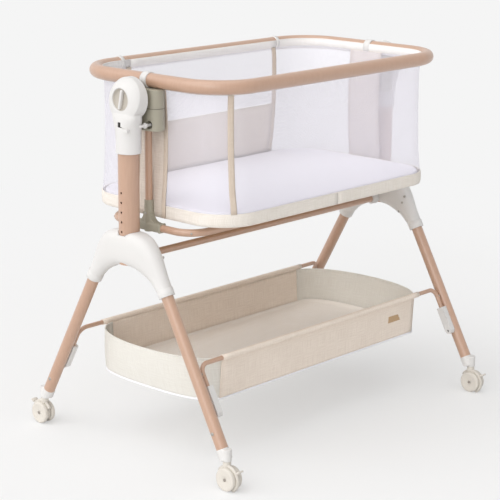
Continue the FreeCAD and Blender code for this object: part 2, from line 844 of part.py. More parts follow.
def make_casters():
    """Each caster is built at its stem with the trail towards -Y, then turned and placed."""
    for corner, (end, front) in CORNERS.items():
        at = (f"{end} * caster_offset", f"{front} * caster_width", "0")
        axle = "-wheel_trail"
        web = cylinder(f"{corner}_web", "caster_web_radius", "caster_web",
                       ("-caster_web / 2", axle, "wheel_radius"), ALONG_X)
        neck = block(f"{corner}_neck", ("caster_web", "caster_neck", f"{COLLAR_BOTTOM} - wheel_radius + 1"),
                     ("-caster_web / 2", "-caster_neck / 2", "wheel_radius"))
        collar = cylinder(f"{corner}_collar", "caster_collar_radius",
                          f"foot_bottom - seat_gap - {COLLAR_BOTTOM}", ("0", "0", COLLAR_BOTTOM))
        stem = cylinder(f"{corner}_stem", "stem_diameter / 2", "stem_length", ("0", "0", "foot_bottom"))
        root = cylinder(f"{corner}_stem_root", "stem_diameter / 2", "seat_gap",
                        ("0", "0", "foot_bottom - seat_gap"))
        bore = cylinder(f"{corner}_axle_bore", "axle_radius + running_clearance", "caster_web",
                        ("-caster_web / 2", axle, "wheel_radius"), ALONG_X)
        union = fuse(f"{corner}_caster_union", web, neck, collar, root, stem)
        body = cut(f"{corner}_caster_body", union, bore)
        wheels = []
        for way, direction in ((-1, ALONG_MINUS_X), (1, ALONG_X)):
            tread = "wheel_thickness - wheel_dome"
            wheels.append(cylinder(f"{corner}_tread_{way}", "wheel_radius", tread,
                                   (f"{way} * wheel_gap / 2", axle, "wheel_radius"), direction))
            wheels.append(cone(f"{corner}_dome_{way}", "wheel_radius", "wheel_face_radius", "wheel_dome",
                               (f"{way} * (wheel_gap / 2 + {tread})", axle, "wheel_radius"), direction))
        shaft = cylinder(f"{corner}_axle", "axle_radius", "wheel_gap",
                         ("-wheel_gap / 2", axle, "wheel_radius"), ALONG_X)
        wheel_pair = fuse(f"{corner}_wheel_pair", shaft, *wheels)
        reach = "(caster_web_radius + seat_gap)"
        arm = block(f"{corner}_brake_arm", ("brake_width", "brake_length", "brake_thickness"),
                    ("-brake_width / 2", f"-{reach} - brake_length", "-brake_thickness / 2"))
        pedal = block(f"{corner}_brake_pedal", ("pedal_width", "pedal_length", "brake_thickness"),
                      ("-pedal_width / 2", f"-{reach} - brake_length - pedal_length + 1",
                       "-brake_thickness / 2"))
        brake = fuse(f"{corner}_brake_lever", arm, pedal)
        brake.Placement = Placement(Vector(0, -number("wheel_trail"), number("wheel_radius")),
                                    Rotation(Vector(1, 0, 0), -number("brake_lift")))
        bind(brake, "Placement.Base.y", "-wheel_trail")
        bind(brake, "Placement.Base.z", "wheel_radius")
        bind(brake, "Placement.Rotation.Angle", "-brake_lift")
        brake_turned = group(f"{corner}_brake_turned", brake)
        for label, shape in (("caster", body), ("wheels", wheel_pair), ("brake", brake_turned)):
            shape.Placement = Placement(Vector(), Rotation(Vector(0, 0, 1), number(f"{corner}_heading")))
            bind(shape, "Placement.Rotation.Angle", f"{corner}_heading")
            for letter, text in zip("xyz", at):
                bind(shape, f"Placement.Base.{letter}", text)
            keep(f"{corner}_{label}", shape)


# ---------------------------------------------------------------- masts

HEAD_FACE = "(head_inner_face + head_thickness)"
NECK_FACE = "(head_inner_face + neck_thickness)"
SPLIT_X = "-mast_offset"


def make_post(side):
    turned = side == "right"
    length = "post_top - post_bottom"
    pipe = tube(f"{side}_post_pipe", "post_diameter", "post_wall", length,
                ("-mast_offset", "0", "post_bottom"))
    holes = [
        cylinder(f"{side}_height_hole_{index}", "height_hole_diameter / 2", "post_diameter / 2",
                 ("-mast_offset - post_diameter", "0", f"height_hole_lowest + {index} * height_hole_pitch"),
                 ALONG_X)
        for index in range(HEIGHT_HOLES)
    ]
    for hole in holes:
        bind(hole, "Height", "post_diameter")
    keep(f"{side}_post", cut(f"{side}_post_drilled", pipe, *holes), turned)


def make_head(side):
    """Two moulded halves: a round head, a neck and the sleeve that takes the post."""
    turned = side == "right"
    name = f"{side}_head"
    rim = cylinder(f"{name}_rim", "head_radius", "head_rim_thickness",
                   ("-head_inner_face", "0", "pivot_height"), ALONG_MINUS_X)
    face = cone(f"{name}_face", "head_radius", "head_face_radius", "head_thickness - head_rim_thickness",
                ("-head_inner_face - head_rim_thickness", "0", "pivot_height"), ALONG_MINUS_X)
    neck_corners = [
        ("-neck_top_half_width", "neck_top_height + head_radius / 2", None),
        ("-neck_top_half_width", "neck_top_height", None),
        ("-neck_bottom_half_width", "neck_bottom_height", None),
        ("neck_bottom_half_width", "neck_bottom_height", None),
        ("neck_top_half_width", "neck_top_height", None),
        ("neck_top_half_width", "neck_top_height + head_radius / 2", None),
    ]
    neck = plate(f"{name}_neck", "YZ_Plane", "-head_inner_face - neck_thickness", neck_corners,
                 "neck_thickness")
    sleeve = cylinder(f"{name}_sleeve", "head_sleeve_diameter / 2",
                      "post_top + head_wall - head_sleeve_bottom",
                      ("-mast_offset", "0", "head_sleeve_bottom"))
    solid = fuse(f"{name}_solid", rim, face, neck, sleeve)
    post_bore = cylinder(f"{name}_post_bore", "post_diameter / 2", "post_top - head_sleeve_bottom",
                         ("-mast_offset", "0", "head_sleeve_bottom"))
    cavity_length = "(head_rim_thickness - 2 * head_wall)"
    cavity_at = ("-head_inner_face - head_wall", "0", "pivot_height")
    cavity = cut(f"{name}_cavity",
                 cylinder(f"{name}_cavity_outer", "head_radius - head_wall", cavity_length, cavity_at,
                          ALONG_MINUS_X),
                 cylinder(f"{name}_boss", "head_boss_radius", cavity_length, cavity_at, ALONG_MINUS_X))
    recess = cylinder(f"{name}_recess", "knob_radius + sliding_clearance",
                      "neck_thickness - head_thickness + knob_recess", (f"-{NECK_FACE}", "0", "pivot_height"),
                      ALONG_X)
    spindle_bore = cylinder(f"{name}_spindle_bore", "knob_spindle_radius + running_clearance",
                            f"{HEAD_FACE} - mast_offset", (f"-{HEAD_FACE}", "0", "pivot_height"), ALONG_X)
    pivot_bore = cylinder(f"{name}_pivot_bore", "pivot_radius", "mast_offset - head_inner_face",
                          ("-mast_offset", "0", "pivot_height"), ALONG_X)
    bolt_bore = cylinder(f"{name}_bolt_bore", "bolt_diameter / 2 + running_clearance",
                         "bolt_length - bolt_reach + bolt_travel + seat_gap",
                         ("-head_inner_face - (bolt_length - bolt_reach + bolt_travel + seat_gap)",
                          "-lock_offset", "pivot_height - lock_drop"), ALONG_X)
    slot_low = "pivot_height - slider_drop - slider_height / 2 - seat_gap"
    slot = block(f"{name}_slider_slot",
                 ("head_thickness", "slider_width + slider_travel + 2 * seat_gap",
                  "slider_height + 2 * seat_gap"),
                 (f"-{NECK_FACE} - head_thickness + slider_depth",
                  "-slider_offset - slider_width / 2 - seat_gap", slot_low))
    window = block(f"{name}_window", ("head_thickness", "window_side", "window_side"),
                   (f"-{NECK_FACE} - head_thickness + window_depth", "-window_side / 2",
                    "pivot_height - window_drop - window_side / 2"))
    whole = cut(f"{name}_whole", solid, post_bore, cavity, recess, spindle_bore, pivot_bore, bolt_bore, slot,
                window)
    half = ("head_thickness", "4 * head_radius", "6 * head_radius")
    low = ("-2 * head_radius", "head_sleeve_bottom - head_radius")
    outer_half = block(f"{name}_outer_half", half, (f"{SPLIT_X} - head_thickness", *low))
    inner_half = block(f"{name}_inner_half", half, (SPLIT_X, *low))
    keep(f"{side}_head_outer", common(f"{name}_outer", whole, outer_half), turned)
    keep(f"{side}_head_inner", common(f"{name}_inner", whole, inner_half), turned)


def make_head_mechanism(side):
    """Pivot shaft, lock knob, slider and lock bolt of one head."""
    turned = side == "right"
    shaft = cylinder(f"{side}_shaft", "pivot_radius", "mast_offset - block_outer_face + block_thickness - 3",
                     ("-mast_offset", "0", "pivot_height"), ALONG_X)
    collar = cylinder(f"{side}_shaft_collar", "pivot_collar_radius",
                      "head_inner_face - block_outer_face - 2 * seat_gap",
                      ("-head_inner_face + seat_gap", "0", "pivot_height"), ALONG_X)
    keep(f"{side}_pivot_shaft", fuse(f"{side}_pivot_union", shaft, collar), turned)

    disc_x = f"-{HEAD_FACE} + knob_recess - seat_gap"
    disc = cylinder(f"{side}_knob_disc", "knob_radius", "knob_thickness", (disc_x, "0", "pivot_height"),
                    ALONG_MINUS_X)
    rib = block(f"{side}_knob_rib", ("knob_rib_height", "knob_rib_width", "knob_radius * 1.8"),
                (f"{disc_x} - knob_thickness - knob_rib_height", "-knob_rib_width / 2",
                 "pivot_height - knob_radius * 0.9"))
    spindle = cylinder(f"{side}_knob_spindle", "knob_spindle_radius",
                       f"{HEAD_FACE} - knob_recess - mast_offset - seat_gap",
                       (disc_x, "0", "pivot_height"), ALONG_X)
    keep(f"{side}_lock_knob", fuse(f"{side}_knob_union", disc, rib, spindle), turned)

    slide = block(f"{side}_slider_block",
                  ("slider_depth - seat_gap + slider_nub", "slider_width", "slider_height"),
                  (f"-{NECK_FACE} - slider_nub", "-slider_offset - slider_width / 2",
                   "pivot_height - slider_drop - slider_height / 2"))
    keep(f"{side}_lock_slider", group(f"{side}_slider_group", slide), turned)

    bolt_start = "(-head_inner_face - (bolt_length - bolt_reach))"
    bolt = cylinder(f"{side}_bolt_rod", "bolt_diameter / 2", "bolt_length",
                    (bolt_start, "-lock_offset", "pivot_height - lock_drop"), ALONG_X)
    keep(f"{side}_lock_bolt", group(f"{side}_bolt_group", bolt), turned)


# ---------------------------------------------------------------- bassinet frame

RAIL_BOTTOM = "(rail_height - rail_diameter / 2)"
BLOCK_TOP = f"({RAIL_BOTTOM} - seat_gap)"
CLIP_Y = "(-clip_offset - clip_width / 2)"


def make_hinge_block(side):
    """A rounded block below the rail's end, carrying the pivot and the end tube."""
    turned = side == "right"
    name = f"{side}_hinge_block"
    half = "block_thickness / 2"
    body = new_body(f"{name}_body")
    outline = new_sketch(body, "XY_Plane", "block_bottom")
    add_path(outline, rounded_rectangle(half, "block_half_width", "block_corner"))
    pad(body, outline, f"{BLOCK_TOP} - block_bottom")
    put(body, (f"-block_outer_face + {half}", "0", "0"))
    pivot_bore = cylinder(f"{name}_pivot_bore", "pivot_radius + running_clearance", "block_thickness - 2",
                          ("-block_outer_face", "0", "pivot_height"), ALONG_X)
    lock_hole = cylinder(f"{name}_lock_hole", "lock_hole_diameter / 2", "lock_hole_depth",
                         ("-block_outer_face", "-lock_offset", "pivot_height - lock_drop"), ALONG_X)
    tube_bore = cylinder(f"{name}_tube_bore", "small_tube_diameter / 2", "end_tube_insert",
                         ("-end_tube_offset", "0", "block_bottom"))
    clip_seat = cylinder(f"{name}_clip_seat", "clip_diameter / 2 + running_clearance",
                         "clip_width + 2 * running_clearance",
                         ("-rail_half_length", f"{CLIP_Y} - running_clearance", "rail_height"), ALONG_Y)
    keep(name, cut(f"{name}_bored", body, pivot_bore, lock_hole, tube_bore, clip_seat), turned)


def make_end_tubes():
    length = "block_bottom + end_tube_insert - fitting_tube_end"
    tubes = [
        tube(f"{side}_end_tube", "small_tube_diameter", "small_tube_wall", length,
             (f"{end} * end_tube_offset", "0", "fitting_tube_end"))
        for side, end in (("left", -1), ("right", 1))
    ]
    keep("end_tubes", group("end_tubes_group", *tubes))


def make_fittings():
    """Moulded tees that join each end tube to the front and back base tubes."""
    fittings = []
    stem = "fitting_stem_half_width"
    corners = [
        ("-fitting_half_length", "fitting_bottom", None),
        ("fitting_half_length", "fitting_bottom", None),
        ("fitting_half_length", "fitting_shoulder", None),
        (f"{stem} + fitting_fillet", "fitting_shoulder", "-fitting_fillet"),
        (stem, "fitting_shoulder + fitting_fillet", None),
        (stem, "fitting_top", None),
        (f"-{stem}", "fitting_top", None),
        (f"-{stem}", "fitting_shoulder + fitting_fillet", "-fitting_fillet"),
        (f"-{stem} - fitting_fillet", "fitting_shoulder", None),
        ("-fitting_half_length", "fitting_shoulder", None),
    ]
    for side, end in (("left", -1), ("right", 1)):
        body = plate(f"{side}_fitting_plate", "YZ_Plane", f"{end} * end_tube_offset - fitting_width / 2",
                     corners, "fitting_width")
        upright = cylinder(f"{side}_fitting_upright", "small_tube_diameter / 2",
                           "fitting_top - fitting_tube_end",
                           (f"{end} * end_tube_offset", "0", "fitting_tube_end"))
        bores = [
            cylinder(f"{side}_fitting_bore_{way}", "small_tube_diameter / 2", "base_tube_insert",
                     (f"{end} * end_tube_offset",
                      "-fitting_half_length" if way < 0 else "fitting_half_length - base_tube_insert",
                      "base_tube_height"), ALONG_Y)
            for way in (-1, 1)
        ]
        fittings.append(cut(f"{side}_fitting", body, upright, *bores))
    keep("t_fittings", group("t_fittings_group", *fittings))


def make_base_tubes():
    """Front and back tubes below the base board, bent back into the fittings."""
    start = "(fitting_half_length - base_tube_insert)"
    turn_x = "(end_tube_offset - base_tube_bend)"
    turn_y = "(base_tube_half_width - base_tube_bend)"
    tubes = []
    for label, way in (("front", -1), ("back", 1)):
        bend = "base_tube_bend" if way < 0 else "-base_tube_bend"
        corners = [
            ("-end_tube_offset", f"{way} * {start}", None),
            ("-end_tube_offset", f"{way} * {turn_y}", bend),
            (f"-{turn_x}", f"{way} * base_tube_half_width", None),
            (turn_x, f"{way} * base_tube_half_width", bend),
            ("end_tube_offset", f"{way} * {turn_y}", None),
            ("end_tube_offset", f"{way} * {start}", None),
        ]
        tubes.append(bent_tube(f"base_tube_{label}", "XZ_Plane", f"{-way} * {start}",
                               ("-end_tube_offset", "base_tube_height"), "small_tube_diameter",
                               "small_tube_wall", "XY_Plane", "base_tube_height", corners))
    keep("base_tubes", group("base_tubes_group", *tubes))


def make_base_board():
    board = plate("base_board_slab", "XY_Plane", "base_tube_height + small_tube_diameter / 2",
                  rounded_rectangle("board_half_length", "board_half_width", "board_corner"),
                  "board_thickness")
    keep("base_board", board)


def make_bassinet_screws():
    """Screws in the outer faces of the fittings and on the bends of the base tubes."""
    screws = []
    for side, end in (("left", -1), ("right", 1)):
        outward = ALONG_X if end > 0 else ALONG_MINUS_X
        at = (f"{end} * (end_tube_offset + fitting_width / 2)", "0", "fitting_shoulder + 7")
        screws.append(cylinder(f"{side}_fitting_screw", "screw_diameter / 2", "screw_head", at, outward))
    for front in (-1, 1):
        outward = ALONG_Y if front > 0 else Rotation(Vector(1, 0, 0), 90)
        for end in (-1, 1):
            at = (f"{end} * (end_tube_offset - base_tube_bend - 12)",
                  f"{front} * (base_tube_half_width + small_tube_diameter / 2)", "base_tube_height")
            screws.append(cylinder(f"tube_screw_{front}_{end}", "screw_diameter / 2", "screw_head", at,
                                   outward))
    keep("bassinet_screws", group("bassinet_screws_group", *screws))


def make_rails():
    """The fixed rail round the front, ends and back corners, and the drop side's straight rail."""
    turn_x = "(rail_half_length - rail_bend)"
    turn_y = "(rail_half_width - rail_bend)"
    corners = [
        ("-rail_split_left", "rail_half_width", None),
        (f"-{turn_x}", "rail_half_width", "rail_bend"),
        ("-rail_half_length", turn_y, None),
        ("-rail_half_length", f"-{turn_y}", "rail_bend"),
        (f"-{turn_x}", "-rail_half_width", None),
        (turn_x, "-rail_half_width", "rail_bend"),
        ("rail_half_length", f"-{turn_y}", None),
        ("rail_half_length", turn_y, "rail_bend"),
        (turn_x, "rail_half_width", None),
        ("rail_split_right", "rail_half_width", None),
    ]
    rail = bent_tube("top_rail_body", "YZ_Plane", "-rail_split_left", ("rail_half_width", "rail_height"),
                     "rail_diameter", "rail_wall", "XY_Plane", "rail_height", corners)
    keep("top_rail", rail)
    length = "rail_split_left + rail_split_right - 2 * rail_end_gap"
    keep("drop_rail", tube("drop_rail_tube", "rail_diameter", "rail_wall", length,
                           ("-rail_split_left + rail_end_gap", "rail_half_width", "rail_height"), ALONG_X))
    sleeves = [
        tube_ring(f"{side}_rail_sleeve", "rail_sleeve_diameter", "rail_diameter", "rail_sleeve_length",
                  (f"{end} * rail_split_{side}", "rail_half_width", "rail_height"), way)
        for side, end, way in (("left", -1, ALONG_MINUS_X), ("right", 1, ALONG_X))
    ]
    keep("rail_sleeves", group("rail_sleeves_group", *sleeves))
    clips = [
        tube_ring("left_rail_clip", "clip_diameter", "rail_diameter", "clip_width",
                  ("-rail_half_length", CLIP_Y, "rail_height"), ALONG_Y),
        tube_ring("right_rail_clip", "clip_diameter", "rail_diameter", "clip_width",
                  ("rail_half_length", "clip_offset - clip_width / 2", "rail_height"), ALONG_Y),
    ]
    keep("rail_clips", group("rail_clips_group", *clips))


def tube_ring(name, outer, bore, length, at, way):
    """A ring that fits on a tube of the bore's diameter."""
    return cut(name,
               cylinder(f"{name}_outer", f"{outer} / 2", length, at, way),
               cylinder(f"{name}_bore", f"{bore} / 2", length, at, way))


# ---------------------------------------------------------------- bassinet fabric

WALL_BOTTOM = "(tray_top + seat_gap)"
TRAY_INNER = "(tray_half_length - cloth_thickness)"


def make_tray():
    """Linen floor and skirt at the bassinet's base."""
    outer = plate("tray_outer", "XY_Plane", "board_top",
                  rounded_rectangle("tray_half_length", "tray_half_width", "tray_corner"), "tray_height")
    inner = plate("tray_inner", "XY_Plane", "board_top + tray_floor",
                  rounded_rectangle("(tray_half_length - cloth_thickness)",
                                    "(tray_half_width - cloth_thickness)",
                                    "(tray_corner - cloth_thickness)"), "tray_height")
    keep("base_tray", cut("base_tray_shell", outer, inner))


def make_mattress():
    """A flat pad with a slight crown and drawn-in sides."""
    low = "(board_top + tray_floor + seat_gap)"
    levels = []
    for rise, inset, lift in (
        ("0", "mattress_draw", "0"),
        ("mattress_thickness * 0.4", "0", "0"),
        ("mattress_thickness * 0.8", "mattress_draw", "0"),
        ("mattress_thickness - mattress_draw", "mattress_shoulder", "0"),
        ("mattress_thickness", "mattress_crown_inset", "mattress_crown"),
    ):
        margin = f"(cloth_thickness + mattress_margin + {inset})"
        levels.append((f"{low} + {rise} + {lift}", f"(tray_half_length - {margin})",
                       f"(tray_half_width - {margin})", f"(tray_corner - {margin})"))
    body = loft("mattress_body", levels)
    keep("mattress", body)


def wall_levels(inset):
    """Heights and outlines of the hanging walls, drawn in by an inset."""
    rows = (
        (WALL_BOTTOM, "tray_half_length", "tray_half_width", "tray_corner"),
        ("waist_height", "waist_half_length", "waist_half_width", "waist_corner"),
        ("hem_height", "hem_half_length", "hem_half_width", "hem_corner"),
        ("wall_top", "rail_half_length - rail_diameter / 2 - seat_gap",
         "rail_half_width - rail_diameter / 2 - seat_gap", "rail_bend - rail_diameter / 2 - seat_gap"),
    )
    return [(height, *(f"({side} - {inset})" for side in sides)) for height, *sides in rows]


def make_walls():
    """Mesh walls, with the drop side's mesh and the linen panel below it cut from the same ring."""
    room = "+ 2 * seat_gap"
    rings = [
        cylinder(f"{side}_clip_room", f"(clip_diameter {room}) / 2", f"clip_width {room}",
                 (f"{end} * rail_half_length", f"{end} * clip_offset - clip_width / 2 - seat_gap",
                  "rail_height"),
                 ALONG_Y)
        for side, end in (("left", -1), ("right", 1))
    ] + [
        cylinder(f"{side}_sleeve_room", f"(rail_sleeve_diameter {room}) / 2", f"rail_sleeve_length {room}",
                 (f"{end} * (rail_split_{side} - seat_gap)", "rail_half_width", "rail_height"), way)
        for side, end, way in (("left", -1, ALONG_MINUS_X), ("right", 1, ALONG_X))
    ]
    inside = loft("wall_inside", wall_levels("cloth_thickness"))
    ring = cut("wall_ring", loft("wall_outside", wall_levels("0")), inside, *rings)
    height = f"(wall_top - {WALL_BOTTOM} + 2)"
    low = f"({WALL_BOTTOM} - 1)"
    width = "drop_left + drop_right"
    gate = block("drop_gate", (f"{width} + 2 * seat_gap", "tray_half_width", height),
                 ("-drop_left - seat_gap", "drop_reach", low))
    keep("mesh_walls", cut("mesh_walls_ring", ring, gate))
    panel_gate = block("panel_gate", (width, "tray_half_width", f"waist_height - {low}"),
                       ("-drop_left", "drop_reach", low))
    keep("back_panel", common("back_panel_sheet", ring, panel_gate))
    mesh_gate = block("mesh_gate", (width, "tray_half_width", "wall_top - waist_height + 2"),
                      ("-drop_left", "drop_reach", "waist_height + seat_gap"))
    keep("drop_mesh", common("drop_mesh_sheet", ring, mesh_gate))


# ---------------------------------------------------------------- build and write

for name in ("left", "right"):
    make_yoke(name)
    make_post(name)
    make_head(name)
    make_head_mechanism(name)
    make_hinge_block(name)
make_legs()
make_foot_caps()
make_crossbar()
make_stand_fasteners()
make_basket_rods()
make_basket_brackets()
make_basket_tub()
make_casters()
make_end_tubes()
make_fittings()
make_base_tubes()
make_base_board()
make_bassinet_screws()
make_rails()
make_tray()
make_mattress()
make_walls()
doc.recompute()

for thing in doc.Objects:
    if {"Invalid", "Error"} & set(thing.State):
        raise RuntimeError(f"{thing.Label} did not build: {thing.State}")
for label, shape in pieces.items():
    if shape.Shape.isNull() or not shape.Shape.isValid() or not shape.Shape.Solids:
        raise RuntimeError(f"{label} has no valid solid")

os.makedirs("parts", exist_ok=True)
for label, shape in pieces.items():
    shape.Shape.exportStep(f"parts/{label}.step")
    box = shape.Shape.BoundBox
    print(f"{label}: {len(shape.Shape.Solids)} solids, {shape.Shape.Volume / 1000:.1f} cm3,",
          f"X {box.XMin:.1f} to {box.XMax:.1f}, Y {box.YMin:.1f} to {box.YMax:.1f},",
          f"Z {box.ZMin:.1f} to {box.ZMax:.1f}")
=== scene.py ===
import math

import bmesh
import bpy
import numpy as np
from mathutils import Matrix, Vector


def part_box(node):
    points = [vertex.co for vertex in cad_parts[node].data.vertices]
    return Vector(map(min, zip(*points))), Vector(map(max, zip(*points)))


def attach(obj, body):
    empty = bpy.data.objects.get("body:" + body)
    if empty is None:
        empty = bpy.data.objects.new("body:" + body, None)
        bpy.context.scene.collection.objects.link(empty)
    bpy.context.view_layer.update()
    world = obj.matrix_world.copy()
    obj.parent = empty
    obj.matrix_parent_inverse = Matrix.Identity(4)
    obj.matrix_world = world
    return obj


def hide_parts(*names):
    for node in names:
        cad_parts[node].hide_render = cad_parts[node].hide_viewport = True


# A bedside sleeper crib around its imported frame, in metres. +X runs along the crib, -Y is the fixed
# front, +Y is the side that drops and +Z is up. The right end is the left end turned half round.

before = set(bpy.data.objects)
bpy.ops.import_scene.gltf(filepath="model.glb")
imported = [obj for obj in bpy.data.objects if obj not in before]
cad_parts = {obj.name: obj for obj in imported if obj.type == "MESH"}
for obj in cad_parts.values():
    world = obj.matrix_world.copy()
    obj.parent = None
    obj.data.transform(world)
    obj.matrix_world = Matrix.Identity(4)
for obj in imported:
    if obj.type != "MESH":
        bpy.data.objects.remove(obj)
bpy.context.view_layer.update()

X_AXIS = Vector((1, 0, 0))
Y_AXIS = Vector((0, 1, 0))
Z_AXIS = Vector((0, 0, 1))
HALF_TURN = Matrix.Rotation(math.pi, 4, "Z")
MM = 0.001


def middle(node):
    """The centre of a node's box."""
    low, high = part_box(node)
    return (low + high) / 2


# ---------------------------------------------------------------- sizes read from the frame

MAST_X = -middle("left_post").x
PIVOT_Z = middle("left_lock_knob").z
RAIL_LOW, RAIL_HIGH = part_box("top_rail")
RAIL_Z = (RAIL_LOW.z + RAIL_HIGH.z) / 2
RAIL_RADIUS = (RAIL_HIGH.z - RAIL_LOW.z) / 2
DROP_LOW, DROP_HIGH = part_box("drop_rail")
RAIL_Y = (DROP_LOW.y + DROP_HIGH.y) / 2
TRAY_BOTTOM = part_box("base_tray")[0].z
PANEL_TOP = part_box("back_panel")[1].z
WALL_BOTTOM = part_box("mesh_walls")[0].z


# ---------------------------------------------------------------- materials

def colour(red, green, blue):
    """A linear colour from display values of 0 to 255."""
    def linear(value):
        value /= 255
        return value / 12.92 if value <= 0.04045 else ((value + 0.055) / 1.055) ** 2.4
    return (linear(red), linear(green), linear(blue), 1.0)


class Nodes:
    """A short way to write the node tree of a material or a world."""

    def __init__(self, name, kind="materials", shader="Principled BSDF"):
        self.owner = getattr(bpy.data, kind).new(name)
        self.owner.use_nodes = True
        self.tree = self.owner.node_tree
        self.shader = self.tree.nodes[shader]

    def add(self, kind, **values):
        node = self.tree.nodes.new(kind)
        for name, value in values.items():
            if name in node.bl_rna.properties:
                setattr(node, name, value)
            else:
                node.inputs[name.replace("_", " ")].default_value = value
        return node

    def link(self, source, target):
        self.tree.links.new(source, target)

    def position(self, scale=(1, 1, 1), by_uv=False):
        place = self.add("ShaderNodeTexCoord")
        mapping = self.add("ShaderNodeMapping")
        mapping.inputs["Scale"].default_value = scale
        self.link(place.outputs["UV" if by_uv else "Object"], mapping.inputs["Vector"])
        return mapping.outputs["Vector"]

    def noise(self, where, scale, detail=3.0, roughness=0.5):
        texture = self.add("ShaderNodeTexNoise", Scale=scale, Detail=detail, Roughness=roughness)
        self.link(where, texture.inputs["Vector"])
        return texture.outputs["Fac"]

    def ramp(self, value, stops):
        ramp = self.add("ShaderNodeValToRGB")
        while len(ramp.color_ramp.elements) < len(stops):
            ramp.color_ramp.elements.new(0.5)
        for element, (place, shade) in zip(ramp.color_ramp.elements, stops):
            element.position = place
            element.color = shade
        self.link(value, ramp.inputs["Fac"])
        return ramp.outputs["Color"]

    def paint(self, value, dark, light, low=0.3, high=0.7):
        shade = self.ramp(value, [(low, dark), (high, light)])
        self.link(shade, self.shader.inputs["Base Color"])

    def math(self, operation, first, second):
        node = self.add("ShaderNodeMath", operation=operation)
        for socket, value in zip(node.inputs, (first, second)):
            if isinstance(value, (int, float)):
                socket.default_value = value
            else:
                self.link(value, socket)
        return node.outputs["Value"]

    def bump(self, height, distance, strength=1.0):
        node = self.add("ShaderNodeBump", Distance=distance, Strength=strength)
        self.link(height, node.inputs["Height"])
        self.link(node.outputs["Normal"], self.shader.inputs["Normal"])

    def mix(self, share, other, output):
        """Send a mix of the main shader and another to the tree's output."""
        node = self.add("ShaderNodeMixShader")
        for source, target in zip((share, self.shader.outputs[0], other.outputs[0]), node.inputs):
            self.link(source, target)
        self.link(node.outputs["Shader"], self.tree.nodes[output].inputs["Surface"])

    def finish(self, **values):
        for name, value in values.items():
            self.shader.inputs[name.replace("_", " ")].default_value = value
        return self.owner


def between(first, second, share):
    """A tuple part of the way from one to another."""
    return tuple(a + (b - a) * share for a, b in zip(first, second))


def enamel(name, tone, roughness):
    """Satin paint with long faint streaks, as on tube printed to look like pale wood."""
    nodes = Nodes(name)
    streaks = nodes.noise(nodes.position((60, 60, 7)), 3.0, 4.0, 0.6)
    specks = nodes.noise(nodes.position(), 900.0, 2.0)
    mixed = nodes.math("ADD", nodes.math("MULTIPLY", streaks, 0.8), nodes.math("MULTIPLY", specks, 0.2))
    nodes.paint(mixed, between(tone, (0.30, 0.15, 0.08, 1), 0.16), tone, 0.35, 0.65)
    nodes.bump(specks, 0.00004)
    return nodes.finish(Roughness=roughness, Specular_IOR_Level=0.9, Coat_Weight=0.5, Coat_Roughness=0.35)


def moulded_plastic(name, tone, roughness, grain=0.00003):
    """Satin plastic with a fine grain and a faint unevenness of tone."""
    nodes = Nodes(name)
    fine = nodes.noise(nodes.position(), 1400.0, 2.0)
    broad = nodes.noise(nodes.position(), 14.0, 2.0)
    nodes.paint(broad, between(tone, (0.5, 0.47, 0.42, 1), 0.05), tone)
    nodes.bump(fine, grain)
    return nodes.finish(Roughness=roughness, Specular_IOR_Level=0.42)


def linen(name, light, dark, thread=0.0011, slub=0.35):
    """Plain weave by the piece's own flat sizes: warp, weft, and thicker yarns here and there."""
    nodes = Nodes(name)
    where = nodes.position(by_uv=True)
    heights = []
    slubs = []
    for direction in ("X", "Y"):
        wave = nodes.add("ShaderNodeTexWave", bands_direction=direction, Scale=0.3142 / thread,
                         Distortion=1.2, Detail=1.0, Detail_Scale=2.0)
        nodes.link(where, wave.inputs["Vector"])
        heights.append(wave.outputs["Fac"])
        stretch = (26, 700, 1) if direction == "Y" else (700, 26, 1)
        slubs.append(nodes.noise(nodes.position(stretch, by_uv=True), 1.0, 2.0, 0.6))
    weave = nodes.math("MULTIPLY", heights[0], heights[1])
    yarns = nodes.math("MULTIPLY", nodes.math("ADD", slubs[0], slubs[1]), 0.5)
    cloud = nodes.noise(nodes.position((9, 9, 9), by_uv=True), 1.0, 2.0)
    tint = nodes.math("MULTIPLY", yarns, 1 - slub / 2)
    tint = nodes.math("ADD", tint, nodes.math("MULTIPLY", weave, 0.16))
    tint = nodes.math("ADD", tint, nodes.math("MULTIPLY", cloud, 0.12))
    nodes.paint(tint, dark, light, 0.40, 0.70)
    nodes.bump(nodes.math("ADD", weave, yarns), 0.00025, 0.6)
    return nodes.finish(Roughness=0.9, Specular_IOR_Level=0.2, Sheen_Weight=0.15, Sheen_Roughness=0.6)


def net(name, tone, pitch, opening, closed_alpha, open_alpha):
    """Knitted mesh: round holes in offset rows, with the yarn between them."""
    nodes = Nodes(name)
    cells = nodes.add("ShaderNodeTexVoronoi", feature="F1", Scale=1.0, Randomness=0.06)
    nodes.link(nodes.position((1 / pitch, 1 / pitch, 1), by_uv=True), cells.inputs["Vector"])
    hole = nodes.ramp(cells.outputs["Distance"], [(opening - 0.05, (open_alpha,) * 3 + (1,)),
                                                  (opening + 0.05, (closed_alpha,) * 3 + (1,))])
    nodes.link(hole, nodes.shader.inputs["Alpha"])
    yarn = nodes.noise(nodes.position((500, 500, 1), by_uv=True), 1.0, 1.0)
    nodes.paint(yarn, between(tone, (0.6, 0.6, 0.66, 1), 0.12), tone)
    return nodes.finish(Roughness=0.8, Specular_IOR_Level=0.25)


def knit(name, tone):
    """A smooth knitted cover, a little uneven in tone."""
    nodes = Nodes(name)
    fine = nodes.noise(nodes.position((900, 900, 900)), 1.0, 2.0)
    soft = nodes.noise(nodes.position((7, 7, 7)), 1.0, 2.0)
    nodes.paint(soft, between(tone, (0.70, 0.70, 0.80, 1), 0.10), tone)
    nodes.bump(fine, 0.0001, 0.5)
    return nodes.finish(Roughness=0.85, Specular_IOR_Level=0.2, Sheen_Weight=0.2, Sheen_Roughness=0.5)


